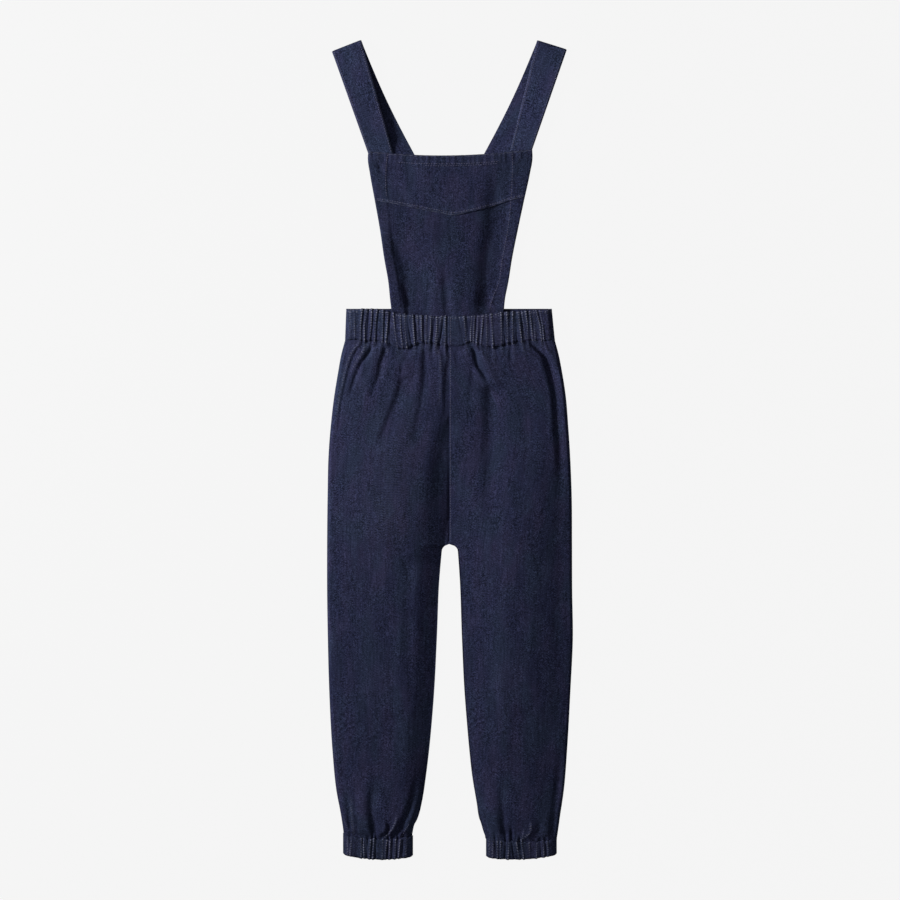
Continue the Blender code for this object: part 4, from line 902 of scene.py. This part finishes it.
def leg_back(side, cloth):
    """The lower panel of a leg, flat on the surface with its edges turned up to the front's."""
    outer = []
    corner = SIDE_SEAM_Z
    for row_y in leg_rows()[::2]:
        turn = float(ease((CROTCH_Y + CROTCH_TURN - row_y) / CROTCH_TURN))
        width, _, drop = side_edge(side, row_y)
        angle = np.linspace((1 + seam_share(width, row_y)) * math.pi / 2, 0.0, 14)
        low, high = np.minimum(angle, math.pi / 2), np.maximum(angle - math.pi / 2, 0)
        x_side = column(SIDES, SIDE_NAMES[side], row_y) - side * (
            corner * (1 - np.sin(low)) + width * (1 - np.cos(high)))
        z_side = corner * (1 - np.cos(low)) + (column(SIDES, "loft", row_y) - drop - corner) * np.sin(high)
        x_in, z_in = curled(inseam_x(side, row_y), side, corner, turn, 7)
        level = np.linspace(x_side[-1], x_in[-1], 30)[1:-1]
        x, z = join(x_side, level, x_in[::-1]), join(z_side, 0 * level, z_in[::-1])
        y = np.where(z > corner, warped_y(side, x, row_y, True), warped_y(side, x, row_y, False))
        hollow = sum(bell(away / row.reach) * (1 - np.cos(x * row.pitch + np.sin(x * row.drift) * row.sway))
                     for away, row in zip((BACK_BOTTOM_Y - y, y - CUFF_OF[side].top), HOLLOWS))
        z = z + HOLLOW_HEIGHT * hollow * (z < FLAT_BELOW)
        outer.append(points_at(x, y, z))
    grid = with_tucked_ends(np.array(outer), BACK_LIFT)
    if side == RIGHT:
        grid = grid[:, ::-1]
    return wall("denim_leg_back_" + SIDE_NAMES[side], grid, inside(grid, CLOTH), cloth)


# ---- Bands ----
def band_profile(share_up, width, top_drop):
    """How far the surface drops at a band's upper edge and at its lower edge."""
    at_top, at_bottom = (1 - share_up) * width / BAND_TOP_ROUND, share_up * width / BAND_BOTTOM_ROUND
    return top_drop * bell(at_top) + BAND_BOTTOM_DROP * bell(at_bottom)


def waist_half(share_up):
    """Half the waistband's width, at a share of the way up it."""
    return WAIST_HALF_BOTTOM + (WAIST_HALF_TOP - WAIST_HALF_BOTTOM) * share_up


def waistband_front(cloth):
    """The upper half of the waistband, with its gathers, and its rim and crests lightened by wear and painted
    highlight.
    """
    rise = WAIST_LOFT - WAIST_SEAM_Z
    outer, rub_and_highlight = [], []
    for share_up in np.linspace(1, 0, BAND_LINES):
        half = waist_half(share_up)
        ends_in, ends_up = shoulder(np.linspace(0, 1, BAND_END_COLUMNS)[:-1], 1.0)
        x_end, z_end = half - WAIST_SHOULDER * ends_in, WAIST_SEAM_Z + rise * ends_up
        middle = np.linspace(-1, 1, BAND_COLUMNS) * (half - WAIST_SHOULDER)
        x = join(-x_end, middle, x_end[::-1]) - WAIST_LEAN * share_up
        z = join(z_end, np.full_like(middle, WAIST_LOFT), z_end[::-1])
        up = np.clip((z - WAIST_SEAM_Z) / rise, 0, 1)
        height = gather_height(WAIST_GATHERS, WAIST_TUCKS, x, share_up) * up
        z = z + height - band_profile(share_up, WAIST_WIDTH, WAIST_TOP_DROP) * up
        low = waist_bottom(x) - 0.5
        y = low + (through(WAIST_TOP, x) - low) * share_up + RIM_PUSH * height * (share_up > 0.9)
        y = y - HEM_PULL * (height - 0.15) * ease(1 - share_up / PULL_SHARE) * up
        outer.append(points_at(x, y, z))
        # Crest lines and a dotted rim: partly wear, partly painted highlight.
        crests = gather_crests(WAIST_GATHERS, x, share_up)
        ticks = np.clip(np.sin(x * 1.9 + 2.2 * np.sin(x * 0.31)), 0, 1) + 0.3 * crests
        rim = RIM_RUB_AND_HIGHLIGHT * ticks * bell((share_up - RIM_PLACE) / RIM_SHARE)
        rub_and_highlight.append(np.clip(0.02 + crests * CREST_RUB_AND_HIGHLIGHT + rim, 0, MOST_RUB_AND_HIGHLIGHT))
    outer = np.array(outer)
    back = thinned(outer)
    level = WAIST_LOFT - GATHER_LINING
    back[:, :, 0] *= 1 - CASING * LINING_SHARE / WAIST_HALF_BOTTOM
    back[:, :, 2] = WAIST_SEAM_Z + (np.minimum(back[:, :, 2], level) - WAIST_SEAM_Z) * (
        WAIST_INSIDE_Z - WAIST_SEAM_Z) / (level - WAIST_SEAM_Z)
    return wall("denim_waistband_front", outer, back, cloth, wear_and_highlight=np.array(rub_and_highlight))


def waistband_back(cloth):
    """The lower half of the waistband, with its gathers' valleys opening downwards."""
    rim = WAIST_SEAM_Z
    outer = []
    for share_up in np.linspace(0, 1, BAND_LINES):
        half = waist_half(share_up)
        (x0, z0), (x1, z1) = curled(-half, 1, rim, 1.0, 10), curled(half, -1, rim, 1.0, 10)
        middle = np.linspace(-half + rim, half - rim, 300)[1:-1]
        x = join(x0, middle, x1[::-1]) - WAIST_LEAN * share_up
        z = join(z0, 0 * middle, z1[::-1])
        height = gather_height(WAIST_GATHERS, WAIST_TUCKS, -x + 3.0, share_up)
        z = z + np.clip(BACK_GATHER_DROP - height * BACK_GATHER_GAIN, 0, BACK_GATHER_MOST) * (z < 0.3)
        y = np.full_like(x, BACK_BOTTOM_Y + (BACK_TOP_Y - BACK_BOTTOM_Y) * share_up)
        outer.append(points_at(x, y, z))
    grid = np.array(outer)
    smooth = grid.copy()
    smooth[:, :, 2] = np.where(smooth[:, :, 2] < BACK_GATHER_MOST + 0.1, 0.0, smooth[:, :, 2])
    return wall("denim_waistband_back", grid, inside(smooth, CASING), cloth)


def ring_section(half, loft, shoulder_width, corner, steps):
    """A flattened ring about x 0, as (x, z), from the upper face's end round to its other end."""
    side_in, side_up = shoulder(np.linspace(1, 0, steps + 1)[1:], 1.0)
    angle = np.linspace(0, math.pi / 2, steps)[1:]
    x_right = join(half - shoulder_width * side_in, half - corner * (1 - np.cos(angle)))
    z_right = join(corner + (loft - corner) * side_up, corner * (1 - np.sin(angle)))
    under = np.linspace(x_right[-1], -x_right[-1], 60)[1:-1]
    return join(x_right, under, -x_right[::-1]), join(z_right, 0 * under, z_right[::-1])


def cuff_y(spec, x, share_up):
    low = cuff_bottom_y(spec, x)
    return low + (cuff_top_y(spec, x) - low) * share_up


def cuff_ring(spec, cloth):
    """A gathered band round the ankle, as one flattened ring."""
    middle, half = (spec.inner + spec.outer) / 2, abs(spec.outer - spec.inner) / 2
    outer, inner, rub_and_highlight = [], [], []
    along = np.linspace(-1, 1, CUFF_COLUMNS) * (half - CUFF_SHOULDER)
    x_round, z_round = ring_section(half, CUFF_LOFT, CUFF_SHOULDER, CUFF_CORNER, CUFF_ROUND_COLUMNS)
    for share_up in np.linspace(1, 0, CUFF_LINES):
        x = join(along, x_round) + middle
        z = join(np.full_like(along, CUFF_LOFT), z_round)
        up = np.clip((z - CUFF_PLAIN_Z) / (CUFF_LOFT - CUFF_PLAIN_Z), 0, 1)
        height = gather_height(spec.gathers, spec.tucks, x, share_up)
        mirrored = gather_height(spec.gathers, spec.tucks, 2 * middle - x, share_up)
        under = np.clip(CUFF_UNDER_DROP - mirrored * CUFF_UNDER_GAIN, 0, CUFF_UNDER_MOST)
        z = z + up * height - band_profile(share_up, CUFF_WIDTH, CUFF_TOP_DROP) * up + under * (z < 0.05)
        y = cuff_y(spec, x, share_up) - CUFF_PULL * height * up * (share_up < 0.1)
        outer.append(points_at(x, y, z))
        # Crest lines on the cuff: partly wear, partly painted highlight.
        crests = gather_crests(spec.gathers, x, share_up)
        rub = np.clip(crests * CUFF_CREST_RUB_AND_HIGHLIGHT - CUFF_RUB_AND_HIGHLIGHT_FROM, 0, CUFF_MOST_RUB_AND_HIGHLIGHT)
        rub_and_highlight.append((CUFF_RUB_AND_HIGHLIGHT + rub) * up)
    x_plain, z_plain = ring_section(half - CUFF_CASING, CUFF_LOFT - 2 * CUFF_CASING,
                                    CUFF_SHOULDER - CUFF_CASING, CUFF_CORNER - CUFF_CASING, 8)
    few = [*along[::4], along[-1]]
    for share_up in np.linspace(1, 0, 8):
        x = join(few, x_plain) + middle
        z = join(np.full_like(few, CUFF_LOFT - CUFF_CASING - 0.5), z_plain + CUFF_CASING)
        inner.append(points_at(x, cuff_y(spec, x, share_up), z))
    return wall("denim_cuff_" + SIDE_NAMES[spec.side], np.array(outer), np.array(inner), cloth, ring=True,
                wear_and_highlight=np.array(rub_and_highlight))


# ---- Bib ----
def bib_top_y(x):
    share = x / BIB_TOP_HALF
    return BIB_TOP_Y - BIB_TOP_DIP * (1 - np.clip(np.abs(share), 0, 1) ** 2) + BIB_TOP_TILT * share


def yoke_seam_y(x):
    return through(YOKE_SEAM, x)


def bib_edges(y):
    return column(BIB_SECTIONS, "right", y), column(BIB_SECTIONS, "left", y)


def bib_hems(y):
    """The inner edges of the two side hems."""
    right, left = bib_edges(y)
    return right + column(BIB_SECTIONS, "right_hem", y), left - column(BIB_SECTIONS, "left_hem", y)


def in_band(y):
    """How far (0 to 1) the bib is inside the waistband."""
    return ease((BIB_RAMP[1] - y) / BAND_GRIP)


def bib_underside(x, y):
    tuck = ease((BIB_RAMP[0] - y) / (BIB_RAMP[0] - BIB_RAMP[1]))
    folds = crease_height(BIB_CREASES, x, y) * (1 - (1 - GRIPPED_FOLDS) * in_band(y))
    under = BIB_UNDER_Z + (BIB_TUCK_Z - BIB_UNDER_Z) * tuck + folds - np.maximum(folds, 0) * in_band(y)
    return np.maximum(under, BIB_LOWEST)


def pucker(along, across_hem):
    """Short uneven ripples that a hem's stitching draws into it."""
    wave = np.sin(along * 0.82 + 1.6 * np.sin(along * 0.19)) + 0.6 * np.sin(along * 1.37 + 0.7)
    return HEM_PUCKER * wave * across_hem


def hemmed(from_edge, width):
    """From 0 to 1 where an edge is doubled to this width."""
    return ease((width - from_edge) / HEM_STEP + 0.5)


def bib_piece(name, edge_high, edge_low, rows, yoke, cloth):
    """A piece of the bib between two edges given as functions of x, with its side hems doubled."""
    outer, inner, rub_and_highlight = [], [], []
    shares = np.linspace(-1, 1, BIB_COLUMNS)
    for share in np.linspace(0, 1, rows):
        y = np.full(BIB_COLUMNS, edge_high(0.0) + (edge_low(0.0) - edge_high(0.0)) * share)
        for _ in range(4):
            right, left = bib_edges(y)
            x = (right + left) / 2 + shares * (left - right) / 2
            y = edge_high(x) + (edge_low(x) - edge_high(x)) * share
        right, left = bib_edges(y)
        right_hem, left_hem = bib_hems(y)
        edge = np.minimum(x - right, left - x)
        doubled = np.maximum(hemmed(x, right_hem), hemmed(-x, -left_hem))
        lines = (right_hem - STITCH_IN, left_hem + STITCH_IN)
        side_hem = sum(bell((x - line) / SIDE_PUCKER) for line in lines)
        ripple = pucker(y * 0.9 + x * 0.1, side_hem)
        rounded = EDGE_ROUND_DROP * rounding(edge, EDGE_ROUND_WIDTH)
        worn_and_lit = HEM_RUB * bell(edge / RUB_WIDTH)
        under = bib_underside(x, y)
        if yoke:
            from_top, above_seam = edge_high(x) - y, y - edge_low(x)
            doubled = np.maximum(doubled, hemmed(from_top, TOP_HEM))
            doubled = np.maximum(doubled, hemmed(above_seam, SEAM_HEM) * YOKE_LIFT)
            ripple += pucker(x + 4.0, ease((TOP_HEM + 2 - from_top) / 4.0)) * 1.25
            ripple += pucker(x * 0.9 + 31.0, bell((above_seam - STITCH_IN) / SEAM_PUCKER)) * 0.9
            rounded = rounded + TOP_EDGE_DROP * rounding(from_top, TOP_EDGE_ROUND)
            rounded = rounded + SEAM_EDGE_DROP * rounding(above_seam, SEAM_EDGE_ROUND)
            under = under + YOKE_LIFT * 0.5 * ease((4.0 - above_seam) / 3.0)
            # A light line along the yoke's top edge and its seam: partly wear, partly painted highlight.
            worn_and_lit = worn_and_lit + YOKE_RUB_AND_HIGHLIGHT * bell((from_top - 0.6) / RUB_WIDTH)
            worn_and_lit = worn_and_lit + YOKE_RUB_AND_HIGHLIGHT * bell((above_seam - 0.8) / RUB_WIDTH)
        else:
            ripple += pucker(x * 0.9 + 31.0, bell((edge_high(x) - y) / BELOW_PUCKER)) * 0.7
        thick = CLOTH + (HEM_EXTRA * doubled + ripple) * (1 - in_band(y)) - rounded
        outer.append(points_at(x, y, under + thick))
        inner.append(points_at(x, y, under - LINING_STEP))
        # Raised puckers are lightened a little: partly wear, partly painted highlight.
        rub_and_highlight.append(worn_and_lit + np.clip(ripple * 0.12, 0, 0.12))
    return wall(name, np.array(outer), thinned(np.array(inner)), cloth, wear_and_highlight=np.array(rub_and_highlight))


# ---- Straps ----
def strap_rows(spec):
    """A strap's rows from behind the bib's hem up to the fold, over it, and down to the back waistband.

    Each is its outer and inner end, the heights between them, and the way into the cloth.
    """
    ends = {name: np.array(getattr(spec, name)) for name in spec._fields if name.endswith(("outer", "inner"))}
    fold = ends["fold_inner"] - ends["fold_outer"]
    away = np.array([-fold[1], fold[0]]) / np.linalg.norm(fold)
    away *= np.sign(away[1])
    bend = (spec.under_z + STRAP) / 2
    start = [ends["fold_outer"] - bend * away, ends["fold_inner"] - bend * away]

    def ends_at(share, place):
        return [a + (ends[place + edge] - a) * share for a, edge in zip(start, ("_outer", "_inner"))]

    rows = []
    shares = np.linspace(0, 1, STRAP_COLUMNS)
    tucked = 1.0 + STRAP_TUCK / np.linalg.norm(ends["bib_outer"] - start[0])
    for share in np.linspace(tucked, 0.0, UPPER_ROWS)[:-1]:
        under = spec.under_z + (STRAP_AT_BIB_Z - spec.under_z) * ease((share - STRAP_RISE[0]) / STRAP_RISE[1])
        tilt = spec.tilt * math.sin(math.pi * min(share, 1.0))
        rows.append((*ends_at(share, "bib"), under + STRAP + tilt * (1 - shares), (0.0, 0.0, -1.0)))
    for turn in np.linspace(0, math.pi, FOLD_ROWS):
        shift = away * bend * math.sin(turn)
        into = (*(-away * math.sin(turn)), -math.cos(turn))
        rows.append((start[0] + shift, start[1] + shift, bend + bend * math.cos(turn) + 0 * shares, into))
    for share in np.linspace(0.0, 1.0, LOWER_ROWS)[1:]:
        bow = spec.side * STRAP_BOW * math.sin(math.pi * min(share / STRAP_BOW_SHARE, 1.0))
        a, b = (end + [bow, 0.0] for end in ends_at(share, "waist"))
        middle = (a[1] + b[1]) / 2
        lift = float(ease((middle - CROSSING[0]) / CROSSING_RAMP + 1)
                     * ease((CROSSING[1] - middle) / CROSSING_RAMP + 1)) * (STRAP + CROSSING_GAP) * spec.over
        twist = spec.twist * ease(share / TWIST_IN) * ease((TWIST_OUT[0] - share) / TWIST_OUT[1])
        rows.append((a, b, lift + twist * (1 - shares), (0.0, 0.0, 1.0)))
    return rows


def strap(spec, cloth):
    """One strap: two flat layers joined by the fold at the shoulder, with ripples along its hems."""
    shares = np.linspace(0, 1, STRAP_COLUMNS)
    rows = strap_rows(spec)
    outer, inner, rub_and_highlight = [], [], []
    travelled, previous = 0.0, rows[0][0]
    for a, b, height, into in rows:
        travelled += float(np.linalg.norm(a - previous))
        previous = a
        from_edge = np.minimum(shares, 1 - shares) * np.linalg.norm(b - a)
        relief = 0 * shares
        if into[2] < 0.5:
            hem = bell((from_edge - STRAP_HEM) / STRAP_HEM_WIDTH)
            ripple = pucker(travelled + 9.0 * (shares > 0.5), hem) * STRAP_PUCKER
            relief = EDGE_ROUND_DROP * rounding(from_edge, EDGE_ROUND_WIDTH) - ripple
        line = points_at(*(a[:, None] + (b - a)[:, None] * shares), height)
        outer.append(line + np.array(into) * relief[:, None])
        inner.append(line + np.array(into) * STRAP)
        rub_and_highlight.append(EDGE_RUB * bell(from_edge / RUB_WIDTH))
    outer, inner, rub_and_highlight = (np.array(part)[:: spec.side] for part in (outer, inner, rub_and_highlight))
    return wall("denim_" + spec.name, outer, inner, cloth, wear_and_highlight=rub_and_highlight)


# ---- Stitches ----
def surface_of(*objects):
    """What to ask for the height of the cloth below a point."""
    points, faces = [], []
    for made in objects:
        base = len(points)
        points += [tuple(v.co) for v in made.data.vertices]
        faces += [tuple(k + base for k in face.vertices) for face in made.data.polygons]
    return BVHTree.FromPolygons(points, faces)


def along_path(path, pitch):
    """Points every `pitch` along a run of (x, y) points, with the direction at each."""
    path = np.array(path, float)
    lengths = join([0], np.cumsum(np.linalg.norm(np.diff(path, axis=0), axis=1)))
    at = np.arange(pitch / 2, lengths[-1], pitch)
    middle, ahead, behind = (np.stack([np.interp(at + shift, lengths, path[:, k]) for k in (0, 1)], axis=1)
                             for shift in (0.0, 0.2, -0.2))
    direction = ahead - behind
    return middle, direction / np.linalg.norm(direction, axis=1, keepdims=True)


def stitch_stations(surface, middle, direction):
    """Where a stitch meets the cloth along its length, with the cloth's normal there."""
    stations = []
    for share in STITCH_STATIONS:
        x, y = (middle + direction * share * STITCH_LENGTH) * MM
        place, normal, *_ = surface.ray_cast(Vector((x, y, 0.05)), Vector((0, 0, -1)))
        if place is None:
            return []
        stations.append((np.array(place), np.array(normal), abs(share) > 0.4))
    return stations


def stitches(name, surface, paths):
    """A row of short stitches along each path, lying on the cloth with both ends drawn into it."""
    points, faces = [], []
    for middle, direction in (stitch for path in paths for stitch in zip(*along_path(path, STITCH_PITCH))):
        stations = stitch_stations(surface, middle, direction)
        if not stations:
            continue
        base = len(points)
        for place, up, is_end in stations:
            across = np.cross(up, [*direction, 0.0])
            across /= np.linalg.norm(across)
            radius = STITCH_RADIUS * MM * (0.6 if is_end else 1.0)
            centre = place + up * radius * (-0.7 if is_end else 0.35)
            for k in range(STITCH_SIDES):
                angle = k * 2 * math.pi / STITCH_SIDES
                points.append(tuple(centre + radius * (across * math.cos(angle) + up * math.sin(angle))))
        last = base + STITCH_SIDES * (len(stations) - 1)
        for ring in range(base, last, STITCH_SIDES):
            for k in range(STITCH_SIDES):
                a, b = ring + k, ring + (k + 1) % STITCH_SIDES
                faces.append((a, b, b + STITCH_SIDES, a + STITCH_SIDES))
        faces.append(tuple(base + k for k in reversed(range(STITCH_SIDES))))
        faces.append(tuple(last + k for k in range(STITCH_SIDES)))
    mesh = bpy.data.meshes.new(name)
    mesh.from_pydata(points, [], faces)
    mesh.shade_smooth()
    mesh.materials.append(thread)
    made = add(name, mesh)
    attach(made, "root")


def bib_stitch_paths():
    """The top hem's two lines, the line above the yoke's seam and the lines along the side hems."""
    paths = [[(x, bib_top_y(x) - down) for x in np.linspace(*ends)] for down, *ends in TOP_LINES]
    paths.append([(x, yoke_seam_y(x) + SEAM_LINE[0]) for x in np.linspace(*SEAM_LINE[1:])])
    paths.append([(bib_hems(y)[0] - LINE_PAST_HEM, y) for y in np.linspace(*RIGHT_LINE)])
    paths.append([(bib_hems(y)[1] + LINE_PAST_HEM, y) for y in np.linspace(*LEFT_LINE)])
    return paths


def strap_stitch_paths(spec):
    """Both edges of a strap's upper layer."""
    paths = []
    for share in STRAP_LINES:
        fold, bib = (np.array(outer) + np.subtract(inner, outer) * share for outer, inner in (
            (spec.fold_outer, spec.fold_inner), (spec.bib_outer, spec.bib_inner)))
        paths.append([fold + (bib - fold) / np.linalg.norm(bib - fold) * 1.5, bib])
    return paths


# ---- Camera, light and surface ----
def stage_and_light():
    scene = bpy.context.scene
    view = bpy.data.cameras.new("camera")
    view.sensor_width = SENSOR_WIDTH
    view.lens = SENSOR_WIDTH * (CAMERA_HEIGHT - SHARP_HEIGHT) / FRAME_WIDTH
    view.clip_start, view.clip_end = 0.05, 50.0
    camera = add("camera", view)
    camera.location = (0.0, 0.0, CAMERA_HEIGHT)
    scene.camera = camera
    scene.view_settings.view_transform = "Standard"

    key = bpy.data.lights.new("key", "AREA")
    key.shape, key.size, key.energy = "SQUARE", KEY_SIZE, KEY_WATTS
    lamp = add("key", key)
    lamp.location = KEY_PLACE
    lamp.rotation_euler = (Vector(KEY_AIM) - Vector(KEY_PLACE)).to_track_quat("-Z", "Y").to_euler()

    sky = bpy.data.worlds.new("sky")
    sky.use_nodes = True
    give(sky.node_tree.nodes["Background"], {"Color": WHITE, "Strength": SKY_LEVEL})
    scene.world = sky

    mesh = bpy.data.meshes.new("floor")
    corners = ((-1, -1), (1, -1), (1, 1), (-1, 1))
    mesh.from_pydata([(x * FLOOR_HALF, y * FLOOR_HALF, FLOOR_Z) for x, y in corners], [], [(0, 1, 2, 3)])
    mesh.materials.append(material("floor", {
        "Base Color": BLACK, "Roughness": 1.0, "Specular IOR Level": 0.0,
        "Emission Color": WHITE, "Emission Strength": FLOOR_LEVEL}))
    floor = add("floor", mesh)
    floor.visible_diffuse = floor.visible_glossy = False
    return floor


# ---- The scene ----
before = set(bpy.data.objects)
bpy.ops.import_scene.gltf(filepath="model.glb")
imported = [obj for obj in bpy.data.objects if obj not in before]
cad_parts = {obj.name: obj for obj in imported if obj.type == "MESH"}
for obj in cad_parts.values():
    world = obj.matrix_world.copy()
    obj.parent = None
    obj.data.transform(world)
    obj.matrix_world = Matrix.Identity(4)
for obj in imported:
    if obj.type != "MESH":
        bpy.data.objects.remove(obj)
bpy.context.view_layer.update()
floor = stage_and_light()

panels = denim("denim_panels")
gathered = denim("denim_gathered", 1.02, 3.1)
cuff_cloth = denim("denim_cuffs", 0.95, 5.3)
# The lower bib's darker level is painted shade.
bib_cloth = denim("denim_bib", BIB_SHADE_LEVEL, 1.9)
# The straps' different levels are painted light and shade.
strap_cloths = [denim("denim_" + spec.name, spec.level, 7.7 + spec.side) for spec in STRAPS]
thread = material("thread", {"Base Color": THREAD, "Roughness": 0.7, "Specular IOR Level": 0.2})

legs_front = [leg_front(side, panels) for side in (RIGHT, LEFT)]
legs_back = [leg_back(side, panels) for side in (RIGHT, LEFT)]
band_front, band_back = waistband_front(gathered), waistband_back(gathered)
cuffs = [cuff_ring(spec, cuff_cloth) for spec in CUFFS]
yoke = bib_piece("denim_bib_yoke", bib_top_y, lambda x: yoke_seam_y(x) - YOKE_LAP, YOKE_ROWS, True, panels)
bib = bib_piece("denim_bib_panel", lambda x: yoke_seam_y(x) + PANEL_LAP, lambda x: BIB_TAIL_Y + 0 * x,
                PANEL_ROWS, False, bib_cloth)
straps = [strap(spec, cloth) for spec, cloth in zip(STRAPS, strap_cloths)]

for made in [*legs_front, *legs_back, band_front, band_back, *cuffs, yoke, bib, *straps]:
    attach(made, "root")
    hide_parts(made.name.removeprefix("denim_"))

stitches("thread_bib", surface_of(yoke, bib), bib_stitch_paths())
for made, spec in zip(straps, STRAPS):
    stitches("thread_" + spec.name, surface_of(made), strap_stitch_paths(spec))
stitches("thread_seams", surface_of(*legs_front, band_front), SEAM_STITCHES)
